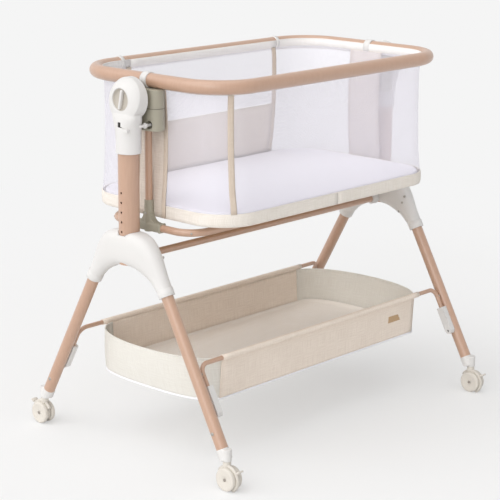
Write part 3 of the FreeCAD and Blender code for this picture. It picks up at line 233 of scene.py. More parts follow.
def plain(name, tone, roughness, metallic=0.0):
    """An even finish with slight wear."""
    nodes = Nodes(name)
    wear = nodes.noise(nodes.position(), 500.0, 2.0)
    nodes.paint(wear, between(tone, (0, 0, 0, 1), 0.08), tone)
    return nodes.finish(Roughness=roughness, Metallic=metallic)


TUBE_PAINT = enamel("tube_paint", colour(189, 152, 128), 0.38)
WHITE = moulded_plastic("white_plastic", colour(219, 217, 215), 0.45)
GREY = moulded_plastic("grey_plastic", colour(162, 157, 141), 0.5)
CREAM = moulded_plastic("cream_plastic", colour(214, 208, 199), 0.4)
# The knob's dished disc is given a greyer, darker tone than its white rib.
KNOB_GREY = moulded_plastic("knob_plastic", colour(190, 183, 172), 0.5)
DARK = plain("dark_gap", colour(70, 64, 58), 0.8)
# Near-black tone of the box set inside the head's window: painted shade for the window's hollow.
WINDOW_SHADE_PAINT = plain("window_painted_shade", colour(36, 33, 31), 0.7)
HUB = plain("hub_grey", colour(150, 142, 134), 0.6)
STEEL = plain("screw_steel", colour(176, 172, 166), 0.35, 0.8)
LINEN = linen("linen", colour(240, 230, 220), colour(214, 202, 190))
LINEN_BAND = linen("linen_band", colour(244, 238, 231), colour(226, 218, 208))
HEM = linen("hem_cloth", colour(247, 245, 242), colour(236, 232, 228), slub=0.1)
BASKET_LINEN = linen("basket_linen", colour(247, 235, 222), colour(228, 213, 199), slub=0.2)
BASKET_END = linen("basket_end_linen", colour(232, 230, 223), colour(219, 215, 207))
BASKET_FLOOR = linen("basket_floor_linen", colour(252, 248, 243), colour(240, 233, 225))
BINDING = linen("binding_tape", colour(226, 212, 197), colour(202, 186, 170))
HEM_LINE = linen("hem_line", colour(206, 197, 186), colour(184, 174, 163))
PIPING = moulded_plastic("white_piping", colour(240, 240, 244), 0.7)
NET = net("wall_net", colour(236, 233, 243), 0.0016, 0.36, 0.62, 0.14)
MATTRESS = knit("mattress_knit", colour(246, 244, 251))
BOARD = plain("base_board_wood", colour(206, 178, 142), 0.7)
TAPE = linen("label_weave", colour(206, 176, 138), colour(184, 152, 116))


# ---------------------------------------------------------------- making meshes

def mesh_piece(name, points, faces, material, smooth=True):
    """A piece from points and faces."""
    mesh = bpy.data.meshes.new(name)
    mesh.from_pydata([tuple(p) for p in points], [], faces)
    mesh.update()
    mesh.materials.append(material)
    mesh.polygons.foreach_set("use_smooth", [smooth] * len(mesh.polygons))
    piece = bpy.data.objects.new(name, mesh)
    bpy.context.scene.collection.objects.link(piece)
    return piece


def lengths_along(points):
    """The distance along a line of points from its start to each of them."""
    lengths = [0.0]
    for first, second in zip(points, points[1:]):
        lengths.append(lengths[-1] + (second - first).length)
    return lengths


def surface(name, rows, material, loop=False, thickness=0.0, caps=False):
    """A sheet through rows of points, with its flat size in metres as its UV map."""
    count = len(rows[0])
    points = [p for row in rows for p in row]
    faces = []
    corners = []
    across = [lengths_along(row + row[:1]) for row in rows]
    up = [0.0]
    for first, second in zip(rows, rows[1:]):
        up.append(up[-1] + sum((a - b).length for a, b in zip(first, second)) / count)
    for r in range(len(rows) - 1):
        for c in range(count if loop else count - 1):
            d = (c + 1) % count
            faces.append((r * count + c, r * count + d, (r + 1) * count + d, (r + 1) * count + c))
            corners += [(across[r][c], up[r]), (across[r][c + 1], up[r]),
                        (across[r + 1][c + 1], up[r + 1]), (across[r + 1][c], up[r + 1])]
    if caps:
        for start, turn in ((0, -1), ((len(rows) - 1) * count, 1)):
            ring = [start + c for c in range(count)][::turn]
            faces.append(tuple(ring))
            corners += [(points[i].x, points[i].y) for i in ring]
    piece = mesh_piece(name, points, faces, material)
    layer = piece.data.uv_layers.new(name="flat")
    for loop_uv, corner in zip(layer.data, corners):
        loop_uv.uv = corner
    if thickness:
        solid = piece.modifiers.new("thickness", "SOLIDIFY")
        solid.thickness = thickness
        solid.offset = 0.0
    return piece


def flat_size(rows):
    """The length and height of a sheet through rows of points, and its area."""
    width = max(lengths_along(row)[-1] for row in rows)
    height = max(lengths_along(column)[-1] for column in zip(*rows))
    area = 0.0
    for low, high in zip(rows, rows[1:]):
        for a, b, c, d in zip(low, low[1:], high[1:], high):
            area += ((b - a).cross(c - a).length + (c - a).cross(d - a).length) / 2
    return width, height, min(area, width * height)


def cloth(name, rows, material, body, thickness=0.0012):
    """A sheet of cloth on its body. The flat size that it was cut to is worked out and not kept."""
    piece = surface(name, rows, material, thickness=thickness)
    width, height, area = flat_size(rows)
    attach(piece, body)
    return piece


def lathe(name, profile, centre, axis, material, steps=64, closed=False):
    """A profile of (radius, distance along the axis) turned about the axis through centre."""
    side = axis.orthogonal().normalized()
    other = axis.cross(side)
    rows = []
    for radius, along in profile:
        row = []
        for step in range(steps):
            turn = 2 * math.pi * step / steps
            row.append(centre + axis * along + (side * math.cos(turn) + other * math.sin(turn)) * radius)
        rows.append(row)
    if closed:
        rows.append(rows[0])
    return surface(name, rows, material, loop=True, caps=not closed)


def arc(centre, radius, start, end, steps):
    """Points of an arc in a plane, with angles in degrees."""
    return [
        (centre[0] + radius * math.cos(math.radians(start + (end - start) * i / steps)),
         centre[1] + radius * math.sin(math.radians(start + (end - start) * i / steps)))
        for i in range(steps + 1)
    ]


def corner_arcs(reach_x, reach_y, radius, steps, first=0):
    """The four corner arcs of a rounded rectangle as one list, counter-clockwise from the given one."""
    points = []
    for k in range(first, first + 4):
        way_x, way_y = ((1, 1), (-1, 1), (-1, -1), (1, -1))[k % 4]
        start = 90 * (k % 4)
        points += arc((way_x * reach_x, way_y * reach_y), radius, start, start + 90, steps)
    return points


def sweep(name, path, section, material, loop=False, up=Z_AXIS, caps=True):
    """A closed section (aside, up) carried along a path of points."""
    count = len(path)
    rows = []
    for i, point in enumerate(path):
        before = path[(i - 1) % count] if loop or i else point
        after = path[(i + 1) % count] if loop or i < count - 1 else point
        along = (after - before).normalized()
        side = along.cross(up).normalized()
        rise = side.cross(along).normalized()
        rows.append([point + side * a + rise * b for a, b in section])
    if loop:
        rows.append(rows[0])
    return surface(name, rows, material, loop=True, caps=caps and not loop)


def circle(radius, steps=16):
    """A round section."""
    return [(radius * math.cos(2 * math.pi * i / steps), radius * math.sin(2 * math.pi * i / steps))
            for i in range(steps)]


def rounded_box(name, size, centre, material, bevel=0.002, segments=3, turn=None):
    """A box with rounded edges, turned about its centre."""
    x, y, z = (s / 2 for s in size)
    corners = [Vector((a * x, b * y, c * z)) for a in (-1, 1) for b in (-1, 1) for c in (-1, 1)]
    faces = [(0, 1, 3, 2), (4, 6, 7, 5), (0, 4, 5, 1), (2, 3, 7, 6), (0, 2, 6, 4), (1, 5, 7, 3)]
    if turn is not None:
        corners = [turn @ corner for corner in corners]
    piece = mesh_piece(name, [corner + centre for corner in corners], faces, material)
    round_edges = piece.modifiers.new("round", "BEVEL")
    round_edges.width = bevel
    round_edges.segments = segments
    return piece


def settle(piece):
    """Replace a piece's mesh by what its modifiers make of it."""
    graph = bpy.context.evaluated_depsgraph_get()
    mesh = bpy.data.meshes.new_from_object(piece.evaluated_get(graph))
    piece.modifiers.clear()
    piece.data = mesh
    return piece


def joined(name, pieces):
    """One piece made of several."""
    graph = bpy.context.evaluated_depsgraph_get()
    whole = bmesh.new()
    materials = []
    for piece in pieces:
        evaluated = piece.evaluated_get(graph)
        mesh = bpy.data.meshes.new_from_object(evaluated)
        mesh.transform(piece.matrix_world)
        for polygon in mesh.polygons:
            material = mesh.materials[polygon.material_index] if mesh.materials else None
            if material not in materials:
                materials.append(material)
            polygon.material_index = materials.index(material)
        whole.from_mesh(mesh)
        bpy.data.meshes.remove(mesh)
        bpy.data.objects.remove(piece)
    mesh = bpy.data.meshes.new(name)
    whole.to_mesh(mesh)
    whole.free()
    for material in materials:
        mesh.materials.append(material)
    result = bpy.data.objects.new(name, mesh)
    bpy.context.scene.collection.objects.link(result)
    return result


def melt(piece, voxel, passes):
    """Join a piece's overlapping bodies into one skin and soften its edges."""
    remesh = piece.modifiers.new("skin", "REMESH")
    remesh.mode = "VOXEL"
    remesh.voxel_size = voxel
    remesh.use_smooth_shade = True
    if passes:
        soften = piece.modifiers.new("soften", "SMOOTH")
        soften.factor = 0.5
        soften.iterations = passes
    material = piece.data.materials[0]
    settle(piece)
    piece.data.materials.clear()
    piece.data.materials.append(material)
    piece.data.polygons.foreach_set("use_smooth", [True] * len(piece.data.polygons))
    return piece


def carve(piece, *tools):
    """Cut tools out of a piece."""
    for tool in tools:
        cut = piece.modifiers.new("cut", "BOOLEAN")
        cut.operation = "DIFFERENCE"
        cut.solver = "EXACT"
        cut.object = tool
    settle(piece)
    for tool in tools:
        bpy.data.objects.remove(tool)
    return piece


def cad_copy(name, nodes, material):
    """A piece with the meshes of some CAD nodes."""
    copies = []
    for node in nodes:
        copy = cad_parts[node].copy()
        copy.data = copy.data.copy()
        copy.parent = None
        copy.hide_render = False
        copy.hide_viewport = False
        copy.data.materials.clear()
        copy.data.materials.append(material)
        for key in list(copy.keys()):
            del copy[key]
        bpy.context.scene.collection.objects.link(copy)
        copies.append(copy)
    bpy.context.view_layer.update()
    return joined(name, copies)


def turned_copy(piece, name):
    """The same piece at the other end of the crib."""
    copy = piece.copy()
    copy.data = piece.data.copy()
    copy.name = name
    for key in list(copy.keys()):
        del copy[key]
    copy.parent = None
    copy.matrix_world = Matrix.Identity(4)
    copy.data.transform(HALF_TURN)
    bpy.context.scene.collection.objects.link(copy)
    return copy


def place(piece, body, slot, *nodes):
    """Put a piece on its body, in place of CAD nodes where it stands for some. The slot is not used."""
    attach(piece, body)
    if nodes:
        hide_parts(*nodes)
    return piece


def both_ends(piece, part, body, slot, *nodes):
    """Place a left piece and its copy at the right end. Names hold {} for the side."""
    other = turned_copy(piece, part.format("right"))
    piece.name = part.format("left")
    place(piece, body.format("left"), slot, *(node.format("left") for node in nodes))
    place(other, body.format("right"), slot, *(node.format("right") for node in nodes))


def refinish(material, *nodes):
    """Give CAD nodes a worked material."""
    for node in nodes:
        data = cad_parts[node].data
        data.materials.clear()
        data.materials.append(material)


def curve_at(values, k, f):
    """The row a share f of the way from row k to the next, on a smooth curve (Catmull-Rom)."""
    p0, p1, p2, p3 = (values[min(max(k + j, 0), len(values) - 1)] for j in (-1, 0, 1, 2))
    return 0.5 * (2 * p1 + (p2 - p0) * f + (2 * p0 - 5 * p1 + 4 * p2 - p3) * f * f
                  + (3 * p1 - p0 - 3 * p2 + p3) * f ** 3)


def spline(values, count):
    """Smooth rows of numbers through the given rows."""
    values = np.array(values, float)
    last = len(values) - 1
    rows = []
    for i in range(count):
        t = last * i / (count - 1)
        k = min(int(t), last - 1)
        rows.append(curve_at(values, k, t - k))
    return rows


# ---------------------------------------------------------------- carried-over tubes and small parts

refinish(TUBE_PAINT, "left_post", "right_post", "crossbar", "basket_rod_front", "basket_rod_back",
         "end_tubes", "base_tubes", "top_rail", "drop_rail", "front_left_leg", "back_left_leg",
         "front_right_leg", "back_right_leg")
refinish(STEEL, "left_pivot_shaft", "right_pivot_shaft")
refinish(BOARD, "base_board")
refinish(WHITE, "left_lock_bolt", "right_lock_bolt", "left_lock_slider", "right_lock_slider")
CORNERS = {
    "front_left": (-1, -1),
    "back_left": (-1, 1),
    "front_right": (1, -1),
    "back_right": (1, 1),
}


# ---------------------------------------------------------------- yokes

LEG_TILT = math.radians(28.5)
LEG_DOWN = Vector((0, math.sin(LEG_TILT), -math.cos(LEG_TILT)))
COLLAR_MOUTH = Vector((-MAST_X, 111.6 * MM, 383.0 * MM))
YOKE_SECTIONS = [
    # outer outline (across, up), inner outline (across, up), half thickness, fullness
    (128.9, 387.9, 98.1, 371.2, 17.5, 2.0),
    (120.9, 398.9, 91.9, 383.6, 17.5, 2.0),
    (112.9, 414.2, 83.0, 392.5, 17.9, 2.0),
    (105.4, 430.0, 72.5, 402.5, 18.8, 2.0),
    (97.6, 447.2, 60.0, 410.5, 20.4, 2.1),
    (88.6, 464.6, 46.0, 417.5, 22.2, 2.3),
    (76.2, 480.8, 32.0, 424.0, 24.0, 2.6),
    (59.4, 495.0, 19.0, 427.4, 25.7, 2.9),
    (38.0, 502.5, 9.0, 428.7, 26.8, 3.2),
    (18.0, 504.0, 4.0, 429.2, 27.0, 3.4),
]


def rounded_turn(turn, fullness):
    """Cosine and sine of a turn, pushed out towards the corners of a square as fullness grows past 2."""
    c, s = math.cos(turn), math.sin(turn)
    return math.copysign(abs(c) ** (2 / fullness), c), math.copysign(abs(s) ** (2 / fullness), s)


def yoke_section(outer, inner, half, fullness, steps=56):
    """A rounded section between two points of the yoke's outline."""
    centre = (outer + inner) / 2
    rise = (outer - inner) / 2
    points = []
    for step in range(steps):
        a, b = rounded_turn(2 * math.pi * step / steps, fullness)
        points.append(centre + X_AXIS * half * b + rise * a)
    return points


def make_yokes():
    """The yoke as one moulding: an arch with swelling shoulders, a rim for the post, two collars."""
    one_side = spline(YOKE_SECTIONS, 46)
    rows = []
    for side, sections in ((1, one_side), (-1, one_side[::-1])):
        for oy, oz, iy, iz, half, fullness in sections:
            outer = Vector((-MAST_X, side * oy * MM, oz * MM))
            inner = Vector((-MAST_X, side * iy * MM, iz * MM))
            rows.append(yoke_section(outer, inner, half * MM, fullness))
    yoke = surface("yoke", rows, WHITE, loop=True, caps=True)
    rim_at = Vector((-MAST_X, 0, 0.493))
    rim = lathe("rim", [(0.0231, -0.010), (0.0246, -0.010), (0.0246, 0.0022), (0.0241, 0.0030),
                        (0.0231, 0.0030)], rim_at, Z_AXIS, WHITE, closed=True)
    well = lathe("well", [(0.0233, -0.02), (0.0233, 0.03)], rim_at, Z_AXIS, WHITE)
    carve(yoke, well)
    collars = []
    for side in (-1, 1):
        mouth = Vector((COLLAR_MOUTH.x, side * COLLAR_MOUTH.y, COLLAR_MOUTH.z))
        down = Vector((0, side * LEG_DOWN.y, LEG_DOWN.z))
        profile = [(0.0131, 0.0012), (0.0166, 0.0012), (0.0175, 0.0004), (0.0178, -0.0008),
                   (0.0179, -0.0128), (0.0174, -0.0135), (0.0165, -0.0135), (0.0131, -0.0110)]
        collars.append(lathe("collar", profile, mouth, down, WHITE, closed=True))
    yoke = joined("yoke_moulding", [yoke, rim, *collars])
    both_ends(yoke, "{}_yoke_moulding", "stand", "white_plastic", "{}_yoke_outer", "{}_yoke_inner")


# The screws of a yoke: across, up and half thickness of the moulding there, in millimetres.
YOKE_SCREWS = ((84.9, 456.6, 17.4), (80.6, 441.4, 20.6), (68.7, 416.8, 17.4))
FOOT_RIVET = Vector((0.4437, 0.2571, 0.1150))
ROD_PIN = Vector((0.4155, 0.1977, 0.2244))


def make_stand_fasteners():
    """Screw heads in the yokes' inner faces, rivets through the legs and pins of the basket rods."""
    head = [(0.0005, 0.0002), (0.0011, 0.0002), (0.0013, 0.0008), (0.0024, 0.0008), (0.0028, 0.0003),
            (0.0028, -0.0030)]
    dome = [(0.0005, 0.0008), (0.0022, 0.0006), (0.0036, 0.0), (0.0040, -0.0008), (0.0040, -0.0014)]
    pieces = []
    for end in (-1, 1):
        for side in (-1, 1):
            for across, up, half in YOKE_SCREWS:
                at = Vector((end * (MAST_X - half * MM), side * across * MM, up * MM))
                pieces.append(lathe("screw", head, at, X_AXIS * -end, STEEL, steps=24))
            at = Vector((end * FOOT_RIVET.x, side * FOOT_RIVET.y, FOOT_RIVET.z))
            pieces.append(lathe("rivet", dome, at, X_AXIS * end, STEEL, steps=24))
            at = Vector((end * ROD_PIN.x, side * ROD_PIN.y, ROD_PIN.z))
            pieces.append(lathe("pin", dome, at, X_AXIS * end, STEEL, steps=24))
    place(joined("stand_fastener_heads", pieces), "stand", "steel", "stand_fasteners")


make_yokes()
make_stand_fasteners()


# ---------------------------------------------------------------- heads, knobs and hinge blocks

def head_rings():
    """The head's disc: a plain rim, a seam plane that leans, and a domed face round the knob's well."""
    rim, well, back, face, lean = 0.0455, 0.0236, -0.4140, -0.4525, 0.21
    rows = []
    steps = 96

    def ring(radius, x_of):
        row = []
        for step in range(steps):
            turn = 2 * math.pi * step / steps
            rise = radius * math.sin(turn)
            row.append(Vector((x_of(rise), radius * math.cos(turn), PIVOT_Z + rise)))
        rows.append(row)

    def seam(rise):
        return -0.4400 + lean * rise

    ring(0.010, lambda rise: back)
    ring(rim - 0.0015, lambda rise: back)
    ring(rim, lambda rise: back - 0.0015)
    ring(rim, lambda rise: seam(rise) + 0.0006)
    ring(rim - 0.0006, lambda rise: seam(rise) - 0.0002)
    for i in range(1, 13):
        share = i / 12
        bulge = math.sin(share * math.pi / 2) ** 0.8
        radius = rim - 0.0006 + (well - rim + 0.0006) * share
        ring(radius, lambda rise: seam(rise * rim / radius) * (1 - bulge) + face * bulge)
    ring(well - 0.0003, lambda rise: face + 0.0008)
    ring(well - 0.0003, lambda rise: face + 0.0085)
    ring(0.010, lambda rise: face + 0.0085)
    return rows


FRONT_FULLNESS = 2.4    # millimetres by which the neck swells more at its front


def make_heads():
    """The mast's head with its neck, slider window and groove, a painted-shade box in the window, and the
    lock knob in its well.
    """
    disc = surface("disc", head_rings(), WHITE, loop=True, caps=True)
    levels = [
        # height, half width, inner face, outer face, fullness
        (671.5, 25.6, -404.4, -455.6, 2.0),
        (673.0, 26.4, -403.6, -456.4, 2.0),
        (700.0, 26.4, -403.6, -456.4, 2.0),
        (716.0, 26.6, -403.8, -456.4, 2.1),
        (728.0, 28.2, -405.0, -456.2, 2.3),
        (738.0, 31.0, -408.0, -456.0, 2.5),
        (747.0, 34.0, -412.0, -455.0, 2.6),
        (755.0, 35.0, -414.0, -453.0, 2.6),
    ]
    rows = []
    for height, half, inner, outer, fullness in spline(levels, 44):
        centre_x = (inner + outer) / 2
        reach = (inner - outer) / 2
        row = []
        for step in range(64):
            a, b = rounded_turn(2 * math.pi * step / 64, fullness)
            reach_y = half + (FRONT_FULLNESS if b < 0 else 0)
            row.append(Vector((centre_x + reach * a, reach_y * b, height)) * MM)
        rows.append(row)
    neck = surface("neck", rows, WHITE, loop=True, caps=True)
    head = melt(joined("head", [disc, neck]), 0.0009, 3)
    window_at = Vector((-0.4560, 0.0, 0.7330))
    window = rounded_box("window", (0.008, 0.0092, 0.0112), window_at, WHITE, 0.0010, 2)
    groove_at = Vector((-0.4562, -0.0135, 0.7262))
    slope = Matrix.Rotation(math.radians(15), 4, "X")
    groove = rounded_box("groove", (0.007, 0.0190, 0.0024), groove_at, WHITE, 0.0006, 2, turn=slope)
    mouth = lathe("mouth", [(0.0227, 0.0), (0.0227, 0.012)], Vector((-MAST_X, 0, 0.660)), Z_AXIS, DARK)
    carve(head, settle(window), settle(groove), mouth)
    both_ends(head, "{}_head_moulding", "{}_mast", "white_plastic", "{}_head_outer", "{}_head_inner")

    # A near-black box a little inside the window stands for the shade in the window's hollow: painted
    # shade.
    painted_shade_box = rounded_box("painted_shade_box", (0.0020, 0.0092, 0.0112), window_at + X_AXIS * 0.0028, WINDOW_SHADE_PAINT, 0.0002, 1)
    both_ends(settle(painted_shade_box), "{}_head_window_shade", "{}_mast", "grey_plastic")

    dish = [(0.0005, -0.4448), (0.012, -0.4452), (0.0195, -0.4464), (0.0216, -0.4486),
            (0.0222, -0.4508), (0.0228, -0.4508), (0.0229, -0.4442), (0.0005, -0.4442)]
    disc = lathe("knob_disc", dish, Vector((0, 0, PIVOT_Z)), X_AXIS, KNOB_GREY, steps=80)
    rib_at = Vector((-0.4492, 0, PIVOT_Z))
    lean = Matrix.Rotation(math.radians(12), 4, "X")
    rib = rounded_box("knob_rib", (0.0085, 0.0058, 0.0425), rib_at, WHITE, 0.0022, 4, turn=lean)
    knob = joined("knob", [disc, rib])
    both_ends(knob, "{}_knob_grip", "{}_knob", "white_plastic", "{}_lock_knob")


BLOCK_SEAM_Z = 0.7645
BLOCK_CORNER = 0.017
BOLT_Y = -0.034
BOLT_Z = 0.7305


def make_blocks():
    """The hinge block with the seam between its halves, its bolt hole's edge and the bolt's root."""
    block = melt(cad_copy("block", ["left_hinge_block"], GREY), 0.0012, 5)
    low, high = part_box("left_hinge_block")
    reach_x = (high.x - low.x) / 2 + 0.0001 - BLOCK_CORNER
    reach_y = (high.y - low.y) / 2 + 0.0001 - BLOCK_CORNER
    centre = Vector(((high.x + low.x) / 2, 0, BLOCK_SEAM_Z))
    path = [centre + Vector((a, b, 0)) for a, b in corner_arcs(reach_x, reach_y, BLOCK_CORNER, 10)]
    line = sweep("line", path, circle(0.00042, 6), DARK, loop=True)
    both_ends(block, "{}_hinge_moulding", "bassinet", "grey_plastic", "{}_hinge_block")
    both_ends(line, "{}_hinge_seam", "bassinet", "grey_plastic")

    root = [(0.0031, 0.0), (0.0034, 0.0035), (0.0046, 0.0075), (0.0062, 0.0105), (0.0062, 0.012)]
    bolt_root = lathe("bolt_root", root, Vector((-0.4035, BOLT_Y, BOLT_Z)), -X_AXIS, WHITE, steps=32)
    both_ends(bolt_root, "{}_bolt_root", "{}_mast", "white_plastic")
    edge = [(0.0076, 0.0), (0.0082, 0.0), (0.0082, 0.0004), (0.0076, 0.0004)]
    hole = lathe("hole", edge, Vector((-0.4024, BOLT_Y, BOLT_Z)), X_AXIS, DARK, closed=True)
    both_ends(hole, "{}_lock_hole_edge", "bassinet", "grey_plastic")


make_heads()
make_blocks()


# ---------------------------------------------------------------- clips, sleeves and fittings

RING_BORE = 0.0151


def ring_on_rail(name, centre, axis, width, radius, edge):
    """A ring round the rail, with its outer edges taken off."""
    profile = [
        (RING_BORE, -width / 2), (radius - edge, -width / 2), (radius, -width / 2 + edge),
        (radius, width / 2 - edge), (radius - edge, width / 2), (RING_BORE, width / 2),
    ]
    return lathe(name, profile, centre, axis, WHITE, steps=72, closed=True)


def make_rings():
    """The clips that hold the rail on the hinge blocks, and the sleeves at the drop side's ends."""
    clip_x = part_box("rail_clips")[1].x - 0.0175
    clips = []
    for side in (-1, 1):
        centre = Vector((side * clip_x, side * 0.0045, RAIL_Z))
        clips.append(ring_on_rail("clip", centre, Y_AXIS, 0.018, 0.0176, 0.0012))
    place(joined("rail_clip_rings", clips), "bassinet", "white_plastic", "rail_clips")
    low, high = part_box("rail_sleeves")
    sleeves = []
    for centre_x in (low.x - 0.0005, high.x - 0.0125):
        centre = Vector((centre_x, RAIL_Y, RAIL_Z))
        sleeves.append(ring_on_rail("sleeve", centre, X_AXIS, 0.010, 0.0171, 0.0010))
    place(joined("rail_sleeve_rings", sleeves), "bassinet", "white_plastic", "rail_sleeves")


def slab(name, outline_points, low_x, high_x, material):
    """A flat piece with an outline of (y, z) points, between two places along X."""
    count = len(outline_points)
    points = [Vector((x, y, z)) for x in (low_x, high_x) for y, z in outline_points]
    faces = [tuple(range(count)), tuple(range(2 * count - 1, count - 1, -1))]
    faces += [(i, i + count, (i + 1) % count + count, (i + 1) % count) for i in range(count)]
    return mesh_piece(name, points, faces, material)


TEE_ARM_Z = 0.5045
END_TUBE_RADIUS = 0.008
BASE_X = 0.372
BASE_Y = 0.128
BASE_BEND = 0.049


def make_tees():
    """The T fittings: a round socket for the upright tube, running out into two filleted arms."""
    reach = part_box("t_fittings")[1].y
    centre_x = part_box("end_tubes")[0].x + END_TUBE_RADIUS
    socket = [(0.0005, -0.012), (0.0098, -0.012), (0.0098, 0.0555), (0.0092, 0.0570), (0.0005, 0.0570)]
    pieces = [lathe("upright", socket, Vector((centre_x, 0, 0.505)), Z_AXIS, GREY, steps=48)]
    arm_at = Vector((centre_x, 0, TEE_ARM_Z))
    pieces.append(settle(rounded_box("arm", (0.0190, 2 * reach, 0.0200), arm_at, GREY, 0.0048, 4)))
    for way in (-1, 1):
        lip_at = Vector((centre_x, way * (reach - 0.0028), TEE_ARM_Z))
        pieces.append(settle(rounded_box("lip", (0.0206, 0.0055, 0.0206), lip_at, GREY, 0.0020, 2)))
        start, end = (180, 270) if way > 0 else (0, -90)
        web = [(0.0, 0.5450), *arc((way * 0.0290, 0.5345), 0.0200, start, end, 12), (0.0, 0.5100)]
        pieces.append(slab("web", web[::way], centre_x - 0.0080, centre_x + 0.0080, GREY))
    tee = melt(joined("tee", pieces), 0.0008, 5)
    other = turned_copy(tee, "right_tee")
    place(joined("tee_mouldings", [tee, other]), "bassinet", "grey_plastic", "t_fittings")

    large = [(0.0005, 0.0012), (0.0019, 0.0010), (0.0028, 0.0003), (0.0029, -0.001)]
    small = [(0.0005, 0.0008), (0.0016, 0.0006), (0.0024, 0.0000), (0.0024, -0.002)]
    screws = []
    for end in (-1, 1):
        at = Vector((end * (abs(centre_x) + 0.0094), 0, 0.533))
        screws.append(lathe("screw", large, at, X_AXIS * end, STEEL, steps=24))
    for way in (-1, 1):
        for end in (-1, 1):
            out = Vector((end, way, 0)).normalized()
            bend = Vector((end * (BASE_X - BASE_BEND), way * (BASE_Y - BASE_BEND), TEE_ARM_Z))
            screws.append(lathe("screw", small, bend + out * 0.0570, out, STEEL, steps=24))
    place(joined("bassinet_screw_heads", screws), "bassinet", "steel", "bassinet_screws")


def make_fittings():
    """The foot caps, and the ribbed sockets that hold the crossbar."""
    caps = melt(cad_copy("foot_cap_mouldings", ["foot_caps"], WHITE), 0.0010, 3)
    place(caps, "stand", "white_plastic", "foot_caps")
    profile = [(0.0081, 0.0), (0.0138, 0.0), (0.0138, 0.002)]
    for rib in range(3):
        start = 0.002 + rib * 0.0045
        profile += [(0.0118, start + 0.0006), (0.0118, start + 0.0016), (0.0128, start + 0.0022),
                    (0.0128, start + 0.0040)]
    profile += [(0.0100, 0.0170), (0.0081, 0.0172)]
    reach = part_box("crossbar_sockets")[1].x
    sockets = []
    for side in (-1, 1):
        centre = Vector((side * reach, 0, middle("crossbar_sockets").z))
        sockets.append(lathe("socket", profile, centre, -X_AXIS * side, WHITE, closed=True))
    place(joined("crossbar_socket_rings", sockets), "stand", "white_plastic", "crossbar_sockets")


make_rings()
make_tees()
make_fittings()


# ---------------------------------------------------------------- casters

def wheel_profile(side, gap):
    """Half a twin wheel, from the hood's gap outwards, with a dished face and a raised hub."""
    face = [
        # radius, distance outwards from the gap
        (0.0030, 0.0), (0.0225, 0.0), (0.0243, 0.0008), (0.0250, 0.0025), (0.0250, 0.0070),
        (0.0244, 0.0088), (0.0228, 0.0100), (0.0205, 0.0106), (0.0190, 0.0102), (0.0120, 0.0094),
        (0.0060, 0.0092), (0.0052, 0.0086), (0.0005, 0.0086),
    ]
    return [(radius, side * (gap / 2 + outwards)) for radius, outwards in face]


CASTER_X = 0.432
CASTER_Y = 0.289
PEDAL_TILT = math.radians(35)


def make_caster(corner):
    """A twin-wheel caster: its pair of wheels, the hood with its stem, and the brake pedal."""
    side, front = CORNERS[corner]
    axle = middle(f"{corner}_wheels")
    out = Vector((0, front, 0))
    wheels = [lathe("wheel", wheel_profile(way, 0.0098), axle, X_AXIS, CREAM, steps=72) for way in (-1, 1)]
    hubs = []
    for way in (-1, 1):
        hub = [(0.0005, way * 0.0139), (0.0034, way * 0.0139), (0.0034, way * 0.0145),
               (0.0028, way * 0.0149), (0.0005, way * 0.0149)]
        hubs.append(lathe("hub", hub, axle, X_AXIS, HUB, steps=32))
    shaft = lathe("shaft", [(0.003, -0.0049), (0.003, 0.0049)], axle, X_AXIS, HUB, steps=24)
    place(joined(f"{corner}_wheel_pair", [*wheels, *hubs, shaft]), f"{corner}_wheels_body",
          "cream_plastic", f"{corner}_wheels")

    ring = []
    for step in range(40):
        turn = math.radians(-62 + 215 * step / 39)
        ring.append(axle + (out * math.cos(turn) + Z_AXIS * math.sin(turn)) * 0.0258)
    section = [(-0.0045, -0.0055), (0.0045, -0.0055), (0.0045, 0.0002), (0.0030, 0.0012),
               (-0.0030, 0.0012), (-0.0045, 0.0002)]
    web = [(0.0005, -0.0042), (0.0212, -0.0042), (0.0212, 0.0042), (0.0005, 0.0042)]
    stem = [(0.0005, 0.0455), (0.0075, 0.0460), (0.0088, 0.0500), (0.0088, 0.0600),
            (0.0080, 0.0615), (0.0040, 0.0617), (0.0040, 0.0860), (0.0005, 0.0860)]
    stem_at = Vector((side * CASTER_X, front * CASTER_Y, 0))
    hood = [
        sweep("hood_rim", ring, section, CREAM, up=X_AXIS),
        lathe("web", web, axle, X_AXIS, CREAM, steps=56),
        lathe("collar", stem, stem_at, Z_AXIS, CREAM, steps=48),
    ]
    place(joined(f"{corner}_caster_body_moulding", hood), f"{corner}_caster_body", "cream_plastic",
          f"{corner}_caster")

    tilt = Matrix.Rotation(PEDAL_TILT * front, 4, "X")
    reach = out * math.cos(PEDAL_TILT) + Z_AXIS * math.sin(PEDAL_TILT)
    start = axle + reach * 0.0275
    arm = rounded_box("arm", (0.006, 0.012, 0.004), start + reach * 0.003, CREAM, 0.0010, 2, turn=tilt)
    pedal = rounded_box("pedal", (0.016, 0.0095, 0.0042), start + reach * 0.0092, CREAM, 0.0017, 3,
                        turn=tilt)
    place(joined(f"{corner}_brake_pedal", [arm, pedal]), f"{corner}_brake_body", "cream_plastic",
          f"{corner}_brake")


for corner_name in CORNERS:
    make_caster(corner_name)


# ---------------------------------------------------------------- outlines of the bassinet's walls

WALL_LEVELS = np.array([
    # height, half length, half width, corner radius
    (0.5510, 0.3612, 0.2130, 0.0900),
    (0.6000, 0.3565, 0.2060, 0.0800),
    (0.6750, 0.3530, 0.2000, 0.0700),
    (0.7400, 0.3535, 0.1985, 0.0700),
    (0.7950, 0.3570, 0.1995, 0.0760),
    (0.8110, 0.3600, 0.2020, 0.0835),
])
STRAIGHT_STEPS = 36
CORNER_STEPS = 18
END_STEPS = 24


def level_at(height):
    """Half length, half width and corner radius of the walls at a height."""
    heights = WALL_LEVELS[:, 0]
    height = min(max(height, heights[0]), heights[-1])
    k = max(i for i in range(len(heights) - 1) if heights[i] <= height)
    return curve_at(WALL_LEVELS[:, 1:], k, (height - heights[k]) / (heights[k + 1] - heights[k]))


